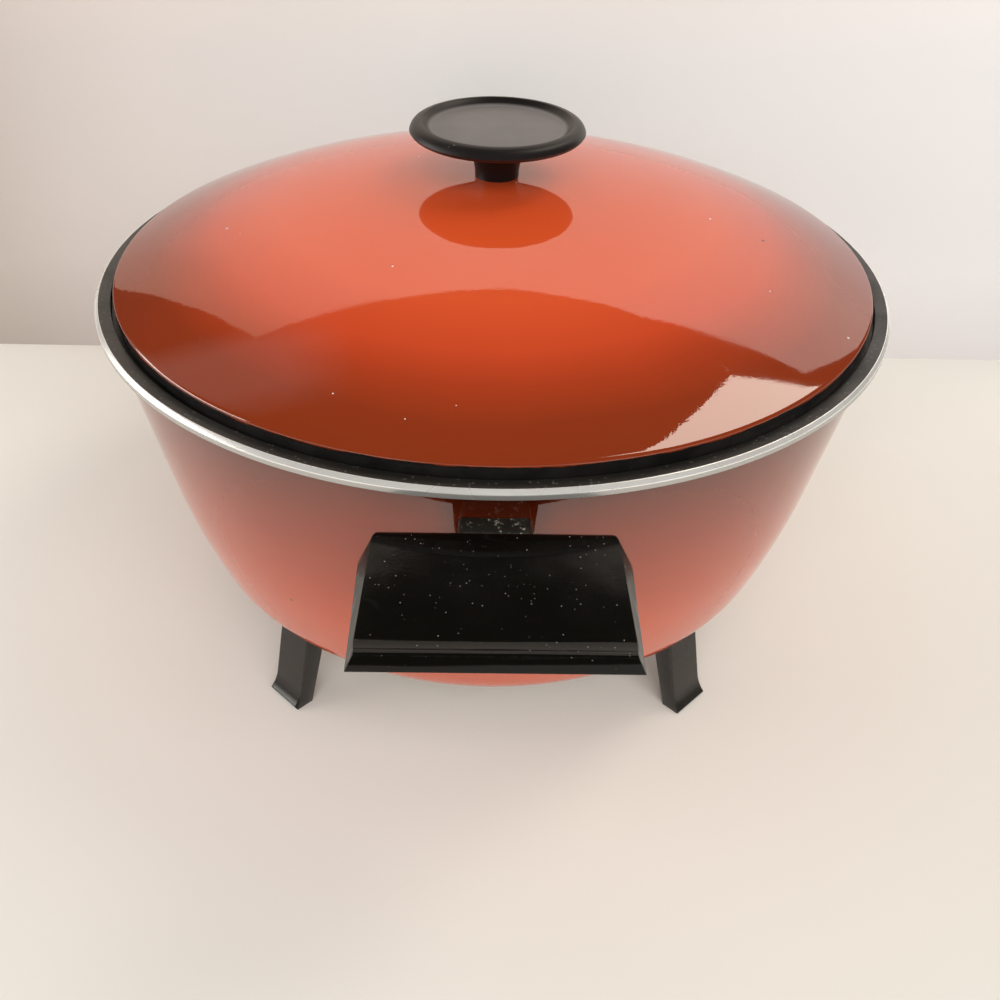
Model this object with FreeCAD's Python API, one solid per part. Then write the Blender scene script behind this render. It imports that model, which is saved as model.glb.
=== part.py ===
import FreeCAD, Part
import math
import os

# Electric skillet: a deep round bowl on four moulded legs, with a domed lid that lifts off,
# a grip at the front and the back, and the element, probe tube and plug pins underneath.
# Millimetres. +Z is up, the table is Z = 0, the bowl's axis is the Z axis and the front is -Y.

V = FreeCAD.Vector
UP = V(0, 0, 1)
TO_FRONT = V(0, -1, 0)
TO_RIGHT = V(1, 0, 0)
TO_BACK = V(0, 1, 0)
CENTRE = V(0, 0, 0)
QUARTER = 1 - math.sqrt(0.5)    # middle of a rounded corner from its sides, as a share of its radius

# Bowl
rim_radius = 153.3          # outside of the bright machined lip
bowl_height = 123.0         # underside of the base to the top of the lip
stand_height = 37.0         # table to the underside of the base
shell_thickness = 3.0
wall_angle = 11.1           # degrees from vertical, upper wall
corner_angle = 19.8         # degrees from vertical where the tight corner starts
side_radius = 289.0         # long curve between the upper wall and the corner
corner_radius = 24.6
lip_overhang = 3.2          # lip outside the wall
lip_height = 3.3
lip_bevel = 1.1
lip_bevel_drop = 1.2
ledge_width = 4.8           # flat coated ledge inside the bevel
seat_depth = 2.6            # step that the lid stands on, below the top of the lip
seat_width = 5.8
seat_edge = 3.0             # depth of its inner edge, above the slope back to the wall

# Lid
lid_play = 1.4              # edge of the lid inside the ledge
lid_edge_height = 4.3       # edge of the dome above the top of the lip
lid_rise = 32.5
lid_thickness = 1.6
lid_bead = 1.5              # upright edge of the dome
lid_skirt_inset = 0.6       # skirt inside the bead
lid_skirt_thickness = 1.4

# Lid knob
knob_radius = 32.8
knob_widest_height = 17.1   # above the lid's crown
knob_crest_radius = 28.2
knob_crest_rise = 3.2       # crest above the widest line
knob_dish_radius = 24.8
knob_dish_depth = 2.3       # below the crest
knob_under_drop = 1.6       # underside of the rim below the widest line
knob_under_inset = 3.6
knob_stem_radius = 8.3
knob_stem_flare = 10.0
knob_stem_flare_height = 8.6
knob_cove_width = 2.2       # cove between the stem's flare and the underside
knob_cove_height = 1.9
knob_stem_bow = 0.052       # how far each arc bows off its chord, as a share of the chord
knob_cove_bow = 0.155
knob_roll_bow = 0.195
knob_dish_bow = 0.045
knob_insert_radius = 4.2
knob_insert_length = 12.0
knob_screw_radius = 2.5
knob_screw_grip = 9.0       # thread inside the insert
knob_screw_head_radius = 5.4
knob_screw_head_height = 3.0
knob_washer_radius = 9.0
knob_washer_thickness = 1.2

# Grips
grip_bottom_width = 80.0
grip_top_width_inner = 72.7
grip_top_width_outer = 76.8
grip_gap = 0.1              # face towards the bowl, outside the lip
grip_length = 50.6
grip_below_rim = 13.7       # top of the grip's inner edge below the top of the lip
grip_droop = 6.0            # degrees
grip_corner_low = 11.0      # rounded inner corners, at the lower edge
grip_corner_top = 5.0       # the same at the top face
grip_roll_radius = 3.0
grip_edge_depth = 4.6       # depth of the bevelled sides at the inner end
grip_edge_depth_outer = 3.2
grip_overrun = 0.45         # bevelled sides drawn past the lower edge and the top, as a share of their depth
grip_lip_rise = 1.2
grip_lip_cove = 5.5
grip_lip_crest = 1.6
grip_cove_bow = 0.054       # share of the chord
grip_front_lean = 1.6
grip_skin = 3.2
grip_side_wall = 3.4
grip_rib_thickness = 2.6
grip_rib_reach = 31.4
grip_rib_bow = 0.16         # share of the chord
grip_tongue_width = 29.0
grip_tongue_depth = 27.0    # tongue below the grip's inner top edge
grip_tongue_thickness = 5.0
grip_tongue_corner = 6.0
grip_pocket_depth = 1.5     # pocket that the bracket stands in
bracket_width = 22.5
bracket_height = 25.0
bracket_drop = 0.4          # top of the bracket below the grip's inner top edge
bracket_wall = 1.6
bracket_corner = 2.4
stud_radius = 4.6
grip_screw_radius = 2.4
grip_screw_head_radius = 4.4
grip_screw_head_height = 2.6
grip_screw_bite = 6.5       # thread inside the stud
grip_washer_radius = 4.8
grip_washer_thickness = 0.9

# All slotted screws
slot_width = 1.1
slot_depth = 1.1
head_chamfer = 0.45         # share of the head's height

# Legs
leg_count = 4
leg_first_angle = 45.0      # degrees from +X
leg_width = 18.0
leg_splay = 12.2            # degrees
leg_foot_reach = 17.6       # splayed outer face at the table, outside the flat base
leg_toe_reach = 2.2         # toe outside that face
leg_toe_height = 8.7
leg_toe_thickness = 1.5
leg_toe_bow = 0.085         # share of the chord
leg_depth = 8.2             # outer face to the back edge
leg_heel_share = 0.75       # depth left at the table
leg_wall = 3.0
leg_pad_reach = 9.0         # pad inside the screw
leg_pad_thickness = 6.0
leg_pad_fillet = 7.0
leg_edge_radius = 1.3
leg_boss_radius = 5.0
leg_boss_height = 2.6
leg_boss_inset = 9.6        # boss inside the edge of the flat base
leg_screw_radius = 2.0
leg_screw_bite = 4.0
leg_screw_head_radius = 3.9
leg_screw_head_height = 2.4
leg_recess_depth = 1.0      # recess in the pad for the screw's head and washer
leg_washer_radius = 4.3
leg_washer_thickness = 0.8

# Element, probe tube and plug pins, at the back (+Y)
ring_inset = 26.6           # centre line of the element inside the edge of the flat base
sheath_radius = 3.5
ridge_width = 12.0
ridge_height = 4.0
ridge_gap = 25.0            # half width of the gap where the element's ends come out
pin_spacing = 25.4
pin_drop = 7.0              # pins below the ring
pin_radius = 2.38
pin_length = 17.0
pin_tip_length = 1.6
pin_tip_radius = 1.3
pin_tail_radius = 1.3
pin_tail_length = 9.0
element_bend_radius = 10.0
element_tail_length = 2.0
bead_radius = 4.4
bead_length = 4.0
probe_bore_radius = 3.3
probe_tube_wall = 0.8
probe_block_radius = 6.6
probe_block_reach = 36.0    # block inside the ring
probe_block_setback = 3.1   # block behind the end of the sheath
probe_tube_setback = 4.0    # tube behind the start of the block
probe_tube_cover = 0.9      # tube beyond the beads

# Guard round the plug pins
guard_inside_width = 52.0
guard_inside_drop = 13.0    # floor of the guard below the pins
guard_sheet = 1.5
guard_bend_radius = 8.0
guard_overlap = 16.0        # guard behind the end of the sheath
guard_cover = 5.9           # guard beyond the pins
guard_ear_length = 12.0
guard_ear_width = 12.0
guard_boss_radius = 4.6
guard_boss_height = 4.0
guard_screw_radius = 1.8
guard_screw_bite = 4.5
guard_screw_head_radius = 3.4
guard_screw_head_height = 2.2

# Clearances
thread_clearance = 0.05
hole_clearance = 0.3
seat_clearance = 0.1
pocket_clearance = 0.15
overcut = 2.0               # how far a cut runs past the faces it opens
edge_match = 1e-6

# Levels and radii that follow
rim_z = stand_height + bowl_height
seat_z = rim_z - seat_depth
lip_under_z = rim_z - lip_height
wall_top_radius = rim_radius - lip_overhang
groove_radius = rim_radius - lip_bevel - ledge_width
seat_radius = groove_radius - seat_width
lid_radius = groove_radius - lid_play
grip_inner_y = rim_radius + grip_gap
wall_slope = math.tan(math.radians(wall_angle))
lid_edge_z = rim_z + lid_edge_height
crown_z = lid_edge_z + lid_rise
dome_radius = (lid_radius ** 2 + lid_rise ** 2) / (2 * lid_rise)
dome_centre_z = crown_z - dome_radius
ridge_z = stand_height - ridge_height
pin_z = ridge_z - pin_drop
grip_top_z = rim_z - grip_below_rim
bracket_top_z = grip_top_z - bracket_drop
grip_screw_z = bracket_top_z - bracket_height / 2
guard_ear_z = stand_height - guard_boss_height
leg_top_z = stand_height + corner_radius / 2
leg_pad_z = stand_height - leg_pad_thickness
leg_recess_z = leg_pad_z + leg_recess_depth


def unit(angle):
    """Direction in the XZ plane, its angle in degrees below +X."""
    return V(math.cos(math.radians(angle)), 0, -math.sin(math.radians(angle)))


def at(r, z):
    """Point of a profile in the XZ plane."""
    return V(r, 0, z)


def flip(point):
    return V(-point.x, point.y, point.z)


def line(a, b):
    return Part.LineSegment(a, b).toShape()


def arc(a, middle, b):
    return Part.Arc(a, middle, b).toShape()


def bowed(a, b, bow, facing):
    """Arc off its chord by a share of the chord's length, to the left seen from the facing side."""
    return arc(a, (a + b) / 2 + facing.cross(b - a) * bow, b)


def path(points):
    return [line(a, b) for a, b in zip(points, points[1:])]


def revolve(edges):
    return Part.Face(Part.Wire(edges)).revolve(CENTRE, UP, 360)


def prism(edges, along):
    return Part.Face(Part.Wire(edges)).extrude(along)


def rod(radius, start, end):
    """Round bar from one point to another."""
    return Part.makeCylinder(radius, (end - start).Length, start, end - start)


def block(x0, x1, y0, y1, z0, z1):
    return Part.makeBox(x1 - x0, y1 - y0, z1 - z0, V(x0, y0, z0))


def turned(shape, angle):
    """Copy turned about the bowl's axis."""
    copy = shape.copy()
    copy.rotate(CENTRE, UP, angle)
    return copy


def save(name, shape):
    shape.removeSplitter().exportStep("parts/" + name + ".step")


def save_group(name, shapes):
    Part.makeCompound([s.removeSplitter() for s in shapes]).exportStep("parts/" + name + ".step")


def slotted_screw(radius, length, head_radius, head_height):
    """Screw with its head's underside at Z = 0, its shank up +Z and its slot facing down."""
    shank = Part.makeCylinder(radius, length)
    crown = head_height * head_chamfer
    head = Part.makeCylinder(head_radius, head_height - crown, V(0, 0, crown - head_height))
    head = head.fuse(Part.makeCone(head_radius - crown, head_radius, crown, V(0, 0, -head_height)))
    half = slot_width / 2
    slot = block(-head_radius, head_radius, -half, half, -head_height, slot_depth - head_height)
    return shank.fuse(head).cut(slot)


def washer(outer, inner, thickness):
    return Part.makeCylinder(outer, thickness).cut(Part.makeCylinder(inner, thickness))


# The bowl's side is a cone, a long curve and a tight corner, each tangent to the next.
low_sine = math.sin(math.radians(wall_angle))
high_sine = math.sin(math.radians(corner_angle))
side_end_z = stand_height + corner_radius * (1 - high_sine) + side_radius * (high_sine - low_sine)
side_end_radius = wall_top_radius - (rim_z - side_end_z) * wall_slope
side_centre = at(side_end_radius, side_end_z) - unit(wall_angle) * side_radius
corner_centre = side_centre + unit(corner_angle) * (side_radius - corner_radius)
base_radius = corner_centre.x
ring_radius = base_radius - ring_inset
leg_boss_circle = base_radius - leg_boss_inset
leg_pad_end = leg_boss_circle - leg_pad_reach
leg_foot_radius = base_radius + leg_foot_reach


def side_curve(inset):
    """The bowl's curved side, inset from its outer face, from the cone down to the flat base."""
    half = (wall_angle + corner_angle) / 2
    low = (corner_angle + 90) / 2
    side = side_radius - inset
    corner = corner_radius - inset
    top = side_centre + unit(wall_angle) * side
    join = side_centre + unit(corner_angle) * side
    long_curve = arc(top, side_centre + unit(half) * side, join)
    tight = arc(join, corner_centre + unit(low) * corner, at(base_radius, stand_height + inset))
    return top, [long_curve, tight]


def cone_radius(z):
    """Outer radius of the bowl's upper wall at a height."""
    return wall_top_radius - (rim_z - z) * wall_slope


def bowl_blank():
    """Everything inside the bowl's outer face, used to fit pieces against it."""
    top, curves = side_curve(0)
    start = at(cone_radius(rim_z), rim_z)
    edges = [line(start, top)] + curves
    edges += path([at(base_radius, stand_height), at(0, stand_height), at(0, rim_z), start])
    return revolve(edges)


def bowl_shell():
    """Spun shell with the machined lip, ledge and lid seat."""
    outer_top, outer = side_curve(0)
    inner_top, inner = side_curve(shell_thickness)
    inner_wall = cone_radius(0) - shell_thickness / math.cos(math.radians(wall_angle))
    seat_under_z = seat_z - seat_edge
    foot_z = (seat_radius + seat_under_z - inner_wall) / (1 + wall_slope)
    lip = path([
        outer_top,
        at(cone_radius(lip_under_z), lip_under_z),
        at(rim_radius, lip_under_z),
        at(rim_radius, rim_z - lip_bevel_drop),
        at(rim_radius - lip_bevel, rim_z),
        at(groove_radius, rim_z),
        at(groove_radius, seat_z),
        at(seat_radius, seat_z),
        at(seat_radius, seat_under_z),
        at(seat_radius + seat_under_z - foot_z, foot_z),
        inner_top,
    ])
    floor_z = stand_height + shell_thickness
    base = path([
        at(base_radius, floor_z),
        at(0, floor_z),
        at(0, stand_height),
        at(base_radius, stand_height),
    ])
    return revolve(lip + inner + base + outer)


def element_ridge():
    """Raised ring under the base, rolled round the upper half of the element."""
    half = ridge_width / 2
    ridge = washer(ring_radius + half, ring_radius - half, ridge_height + shell_thickness / 2)
    ridge.translate(V(0, 0, ridge_z))
    groove = Part.makeTorus(ring_radius, sheath_radius + seat_clearance, V(0, 0, ridge_z), UP)
    gap = block(-ridge_gap, ridge_gap, 0, 2 * ring_radius, ridge_z, stand_height)
    return ridge.cut(groove).cut(gap)


def probe_block():
    """Block brazed under the base that holds the probe tube against it."""
    bar = rod(probe_block_radius, V(0, probe_block_start, pin_z), V(0, probe_block_end, pin_z))
    half = probe_block_radius
    web = block(-half, half, probe_block_start, probe_block_end, pin_z, stand_height)
    hole_radius = probe_bore_radius + probe_tube_wall + thread_clearance
    return bar.fuse(web).cut(rod(hole_radius, V(0, probe_tube_start, pin_z), V(0, probe_block_end, pin_z)))


def leg_places():
    return [leg_first_angle + i * 360.0 / leg_count for i in range(leg_count)]


def guard_screw_places():
    x = guard_inside_width / 2 + guard_sheet + guard_ear_width / 2
    y = guard_start + guard_ear_length / 2
    return [V(x, y, guard_ear_z), V(-x, y, guard_ear_z)]


def bowl():
    body = bowl_shell().fuse(element_ridge())
    inside = shell_thickness / 2
    leg_boss = Part.makeCylinder(leg_boss_radius, leg_boss_height + inside)
    leg_boss.translate(V(leg_boss_circle, 0, stand_height - leg_boss_height))
    body = body.fuse([turned(leg_boss, a) for a in leg_places()])
    guard_boss = Part.makeCylinder(guard_boss_radius, guard_boss_height + inside)
    body = body.fuse([guard_boss.translated(p) for p in guard_screw_places()])
    leg_hole = Part.makeCylinder(leg_screw_radius + thread_clearance, leg_screw_bite)
    leg_hole.translate(V(leg_boss_circle, 0, stand_height - leg_boss_height))
    body = body.cut([turned(leg_hole, a) for a in leg_places()])
    guard_hole = Part.makeCylinder(guard_screw_radius + thread_clearance, guard_screw_bite)
    return body.cut([guard_hole.translated(p) for p in guard_screw_places()])


# Lid and knob
def dome_z(r, inset):
    """Height of the dome at a radius, inset from its outer face."""
    return dome_centre_z + math.sqrt((dome_radius - inset) ** 2 - r ** 2)


def dome_arc(r0, r1, inset):
    middle = (r0 + r1) / 2
    return arc(at(r0, dome_z(r0, inset)), at(middle, dome_z(middle, inset)), at(r1, dome_z(r1, inset)))


def lid():
    hole = knob_screw_radius + hole_clearance
    bead_z = lid_edge_z - lid_bead
    skirt = lid_radius - lid_skirt_inset
    inner = skirt - lid_skirt_thickness
    edges = [dome_arc(hole, lid_radius, 0)]
    edges += path([
        at(lid_radius, lid_edge_z),
        at(lid_radius, bead_z),
        at(skirt, bead_z),
        at(skirt, seat_z),
        at(inner, seat_z),
        at(inner, dome_z(inner, lid_thickness)),
    ])
    edges.append(dome_arc(inner, hole, lid_thickness))
    edges.append(line(at(hole, dome_z(hole, lid_thickness)), at(hole, dome_z(hole, 0))))
    return revolve(edges)


def knob():
    """Disc with a dished top and a rolled rim, on a waisted stem that sits on the dome."""
    hole = knob_insert_radius + thread_clearance
    widest_z = crown_z + knob_widest_height
    crest_z = widest_z + knob_crest_rise
    dish_z = crest_z - knob_dish_depth
    under_z = widest_z - knob_under_drop
    flare_z = crown_z + knob_stem_flare_height
    insert_z = crown_z + knob_insert_length
    seat = at(knob_stem_radius, dome_z(knob_stem_radius, 0))
    flare = at(knob_stem_flare, flare_z)
    under = at(knob_radius - knob_under_inset, under_z)
    shoulder = at(knob_stem_flare + knob_cove_width, flare_z + knob_cove_height)
    widest = at(knob_radius, widest_z)
    crest = at(knob_crest_radius, crest_z)
    dish = at(knob_dish_radius, dish_z)
    edges = [
        dome_arc(hole, knob_stem_radius, 0),
        bowed(seat, flare, knob_stem_bow, TO_FRONT),
        bowed(flare, shoulder, knob_cove_bow, TO_FRONT),
        line(shoulder, under),
        bowed(under, widest, -knob_roll_bow, TO_FRONT),
        bowed(widest, crest, -knob_roll_bow, TO_FRONT),
        bowed(crest, dish, knob_dish_bow, TO_FRONT),
    ]
    edges += path([dish, at(0, dish_z), at(0, insert_z), at(hole, insert_z), at(hole, dome_z(hole, 0))])
    return revolve(edges)


def knob_insert():
    """Threaded brass bush moulded into the stem."""
    bush = washer(knob_insert_radius, knob_screw_radius + thread_clearance, knob_insert_length)
    bush.translate(V(0, 0, crown_z))
    return bush


def knob_washer():
    plate = washer(knob_washer_radius, knob_screw_radius + hole_clearance, knob_washer_thickness)
    plate.translate(V(0, 0, dome_z(knob_washer_radius, lid_thickness) - knob_washer_thickness))
    return plate


def knob_screw():
    head_z = dome_z(knob_washer_radius, lid_thickness) - knob_washer_thickness
    length = crown_z + knob_screw_grip - head_z
    screw = slotted_screw(knob_screw_radius, length, knob_screw_head_radius, knob_screw_head_height)
    screw.translate(V(0, 0, head_z))
    return screw


# Grips are drawn at the back, pointing along +Y.
def grip_z(y, below):
    """Height of the drooping top face at a distance from the bowl, less an offset."""
    return grip_top_z - (y - grip_inner_y) * math.tan(math.radians(grip_droop)) - below


def yz(y, z):
    return V(0, y, z)


def grip_side_profile():
    """Side view: rolled inner edge, drooping top, cove and upstanding lip, leaning front face."""
    front = grip_inner_y + grip_length
    lip_y = front - grip_front_lean
    crest_y = lip_y - grip_lip_crest
    cove_y = crest_y - grip_lip_cove
    turn = grip_roll_radius * QUARTER
    roll_y = grip_inner_y + grip_roll_radius
    roll_low = yz(grip_inner_y, grip_top_z - grip_roll_radius)
    roll_high = yz(roll_y, grip_z(roll_y, 0))
    cove = yz(cove_y, grip_z(cove_y, 0))
    crest = yz(crest_y, grip_z(crest_y, -grip_lip_rise))
    lip = yz(lip_y, grip_z(lip_y, -grip_lip_rise))
    foot = yz(front, grip_z(front, grip_edge_depth_outer))
    heel = yz(grip_inner_y, grip_z(grip_inner_y, grip_edge_depth))
    return [
        line(heel, roll_low),
        arc(roll_low, yz(grip_inner_y + turn, grip_top_z - turn), roll_high),
        line(roll_high, cove),
        bowed(cove, crest, -grip_cove_bow, TO_RIGHT),
        line(crest, lip),
        line(lip, foot),
        line(foot, heel),
    ]


def grip_outline(share):
    """Plan of the grip at a share of its edge depth, from 0 at the lower edge to 1 at the top face."""
    corner = grip_corner_low + share * (grip_corner_top - grip_corner_low)
    turn = corner * QUARTER
    inner = (grip_bottom_width + share * (grip_top_width_inner - grip_bottom_width)) / 2
    outer = (grip_bottom_width + share * (grip_top_width_outer - grip_bottom_width)) / 2

    def on_level(x, y):
        depth = grip_edge_depth + (y - grip_inner_y) / grip_length * (grip_edge_depth_outer - grip_edge_depth)
        return V(x, y, grip_z(y, depth * (1 - share)))

    front = grip_inner_y + grip_length
    right = [
        on_level(outer, front),
        on_level(inner, grip_inner_y + corner),
        on_level(inner - turn, grip_inner_y + turn),
        on_level(inner - corner, grip_inner_y),
    ]
    left = [flip(p) for p in right]
    return Part.Wire([
        line(left[0], right[0]),
        line(right[0], right[1]),
        arc(right[1], right[2], right[3]),
        line(right[3], left[3]),
        arc(left[3], left[2], left[1]),
        line(left[1], left[0]),
    ])


def grip_tongue():
    """Upright tongue at the inner end, with rounded lower corners, that the screw goes through."""
    half = grip_tongue_width / 2
    r = grip_tongue_corner
    turn = r * QUARTER
    low = grip_top_z - grip_tongue_depth
    top = grip_z(grip_inner_y + grip_tongue_thickness, grip_skin / 2)
    y = grip_inner_y
    edges = [
        line(V(-half, y, top), V(half, y, top)),
        line(V(half, y, top), V(half, y, low + r)),
        arc(V(half, y, low + r), V(half - turn, y, low + turn), V(half - r, y, low)),
        line(V(half - r, y, low), V(r - half, y, low)),
        arc(V(r - half, y, low), V(turn - half, y, low + turn), V(-half, y, low + r)),
        line(V(-half, y, low + r), V(-half, y, top)),
    ]
    return prism(edges, V(0, grip_tongue_thickness, 0))


def grip_rib(x):
    """Curved rib between the tongue and the underside of the grip."""
    root_y = tongue_front()
    low_z = grip_top_z - grip_tongue_depth + grip_tongue_corner
    start_y = root_y - grip_tongue_thickness / 2
    end_y = grip_inner_y + grip_rib_reach
    root = yz(root_y, low_z)
    end = yz(end_y, grip_z(end_y, grip_skin))
    edges = [bowed(root, end, grip_rib_bow, TO_RIGHT)]
    edges += path([
        end,
        yz(end_y, grip_z(end_y, grip_skin / 2)),
        yz(start_y, grip_z(start_y, grip_skin / 2)),
        yz(start_y, low_z),
        root,
    ])
    rib = prism(edges, V(grip_rib_thickness, 0, 0))
    rib.translate(V(x - grip_rib_thickness / 2, 0, 0))
    return rib


def grip():
    levels = [grip_outline(share) for share in (-grip_overrun, 1 + grip_overrun)]
    slab = prism(grip_side_profile(), V(2 * grip_bottom_width, 0, 0))
    slab.translate(V(-grip_bottom_width, 0, 0))
    body = slab.common(Part.makeLoft(levels, True, True)).cut(grip_recess())
    ribs = [grip_rib(x) for x in (-grip_tongue_width / 3, grip_tongue_width / 3)]
    body = body.fuse([grip_tongue()] + ribs)
    half = bracket_width / 2 + pocket_clearance
    low = bracket_top_z - bracket_height - pocket_clearance
    high = bracket_top_z + pocket_clearance
    start = grip_inner_y - overcut
    pocket = block(-half, half, start, bracket_end(), low, high)
    hole_start = V(0, grip_inner_y, grip_screw_z)
    hole = rod(grip_screw_radius + hole_clearance, hole_start, V(0, tongue_front(), grip_screw_z))
    return body.cut([pocket, hole])


def grip_recess():
    """Shallow hollow under the grip that leaves a rim all round."""
    half = grip_top_width_inner / 2 - grip_side_wall
    y0 = tongue_front()
    y1 = grip_inner_y + grip_length - grip_front_lean - grip_lip_crest - grip_lip_cove / 2
    low = grip_top_z - grip_tongue_depth
    ceiling = [yz(y0, grip_z(y0, grip_skin)), yz(y1, grip_z(y1, grip_skin))]
    recess = prism(path(ceiling + [yz(y1, low), yz(y0, low), ceiling[0]]), V(2 * half, 0, 0))
    recess.translate(V(-half, 0, 0))
    return recess


def tongue_front():
    return grip_inner_y + grip_tongue_thickness


def bracket_end():
    return grip_inner_y + grip_pocket_depth


def rounded_bar(half, low, high, corner, start, end):
    """Bar along Y with rounded long edges."""
    turn = corner * QUARTER
    corners = []
    for sx, sz in ((1, -1), (1, 1), (-1, 1), (-1, -1)):
        cx = sx * half
        cz = high if sz > 0 else low
        side = V(cx, start, cz - sz * corner)
        flat = V(cx - sx * corner, start, cz)
        middle = V(cx - sx * turn, start, cz - sz * turn)
        first, last = (side, flat) if sx == sz else (flat, side)
        corners.append((first, middle, last))
    edges = []
    for here, after in zip(corners, corners[1:] + corners[:1]):
        edges.append(arc(*here))
        edges.append(line(here[2], after[0]))
    return prism(edges, V(0, end - start, 0))


def bracket():
    """Pressed steel cup between the bowl and the grip, its open edge cut to the bowl's wall."""
    half = bracket_width / 2
    low = bracket_top_z - bracket_height
    start = cone_radius(low) - half
    outer = rounded_bar(half, low, bracket_top_z, bracket_corner, start, bracket_end())
    wall = bracket_wall
    end = bracket_end()
    corner = bracket_corner - wall / 2
    inner = rounded_bar(half - wall, low + wall, bracket_top_z - wall, corner, start, end - wall)
    hole = rod(grip_screw_radius + hole_clearance, V(0, start, grip_screw_z), V(0, end, grip_screw_z))
    return outer.cut([inner, hole, bowl_blank()])


def grip_stud():
    """Tapped stud welded to the bowl, inside the bracket."""
    end = bracket_end() - bracket_wall
    start = cone_radius(grip_screw_z) - stud_radius
    post = rod(stud_radius, V(0, start, grip_screw_z), V(0, end, grip_screw_z))
    bite = V(0, end - grip_screw_bite, grip_screw_z)
    tapping = rod(grip_screw_radius + thread_clearance, bite, V(0, end, grip_screw_z))
    return post.cut([bowl_blank(), tapping])


def along_y(shape, y, z):
    """Turns a piece drawn up +Z so that it points from +Y towards the bowl."""
    shape.rotate(CENTRE, TO_RIGHT, 90)
    shape.translate(V(0, y, z))
    return shape


def grip_washer():
    ring = washer(grip_washer_radius, grip_screw_radius + hole_clearance, grip_washer_thickness)
    return along_y(ring, tongue_front() + grip_washer_thickness, grip_screw_z)


def grip_screw():
    head_y = tongue_front() + grip_washer_thickness
    length = head_y - (bracket_end() - bracket_wall - grip_screw_bite)
    screw = slotted_screw(grip_screw_radius, length, grip_screw_head_radius, grip_screw_head_height)
    return along_y(screw, head_y, grip_screw_z)


# Legs are drawn along +X, then turned to their places.
splay = math.tan(math.radians(leg_splay))


def leg_face(z):
    """Radius of a leg's splayed outer face at a height."""
    return leg_foot_radius - z * splay


def leg_side():
    """Slab with the leg's side view: splayed face, kicked-out toe, and a pad running in under the bowl."""
    toe = leg_foot_radius + leg_toe_reach
    knee = at(leg_face(leg_toe_height), leg_toe_height)
    tip = at(toe, leg_toe_thickness)
    sole = at(toe - leg_toe_thickness / 2, 0)
    top = at(leg_face(leg_top_z), leg_top_z)
    turn = leg_pad_fillet * QUARTER
    heel_z = leg_pad_z - leg_pad_fillet
    heel = at(leg_face(heel_z) - leg_depth, heel_z)
    crook = at(heel.x - leg_pad_fillet, leg_pad_z)
    instep = at(leg_face(0) - leg_depth * leg_heel_share, 0)
    edges = [bowed(tip, knee, leg_toe_bow, TO_FRONT)]
    edges += path([knee, top, at(leg_pad_end, leg_top_z), at(leg_pad_end, leg_pad_z), crook])
    edges.append(arc(crook, at(heel.x - turn, leg_pad_z - turn), heel))
    edges += path([heel, instep, sole, tip])
    slab = prism(edges, V(0, leg_width, 0))
    slab.translate(V(0, -leg_width / 2, 0))
    return slab


def leg_outer_edge(edge):
    """A long edge of the splayed outer face."""
    first, last = edge.Vertexes
    on_face = all(abs(v.X - leg_face(v.Z)) < edge_match for v in (first, last))
    return on_face and abs(first.Y - last.Y) < edge_match


def leg():
    """Moulded leg: splayed channel with a kicked-out toe and a pad that follows the bowl's corner."""
    body = leg_side()
    body = body.makeFillet(leg_edge_radius, [e for e in body.Edges if leg_outer_edge(e)])
    boss_z = stand_height - leg_boss_height
    foot = V(leg_boss_circle, 0, 0)
    boss = rod(leg_boss_radius + pocket_clearance, foot + V(0, 0, boss_z), foot + V(0, 0, leg_top_z))
    hole = rod(leg_screw_radius + hole_clearance, foot, foot + V(0, 0, boss_z))
    recess = rod(leg_washer_radius + hole_clearance, foot, foot + V(0, 0, leg_recess_z))
    return body.cut([leg_channel(), bowl_blank(), boss, hole, recess])


def leg_channel():
    """Hollow in the back of a leg, open towards the middle of the bowl."""
    width = leg_width - 2 * leg_wall
    top_z = leg_pad_z - leg_pad_fillet / 2
    low_z = leg_toe_height / 2
    front = [at(leg_face(z) - leg_wall, z) for z in (low_z, top_z)]
    back = [at(leg_face(z) - 2 * leg_depth, z) for z in (top_z, low_z)]
    channel = prism(path(front + back + front[:1]), V(0, width, 0))
    channel.translate(V(0, -width / 2, 0))
    return channel


def leg_washer():
    ring = washer(leg_washer_radius, leg_screw_radius + hole_clearance, leg_washer_thickness)
    ring.translate(V(leg_boss_circle, 0, leg_recess_z - leg_washer_thickness))
    return ring


def leg_screw():
    head_z = leg_recess_z - leg_washer_thickness
    length = stand_height - leg_boss_height + leg_screw_bite - hole_clearance - head_z
    screw = slotted_screw(leg_screw_radius, length, leg_screw_head_radius, leg_screw_head_height)
    screw.translate(V(leg_boss_circle, 0, head_z))
    return screw


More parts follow.
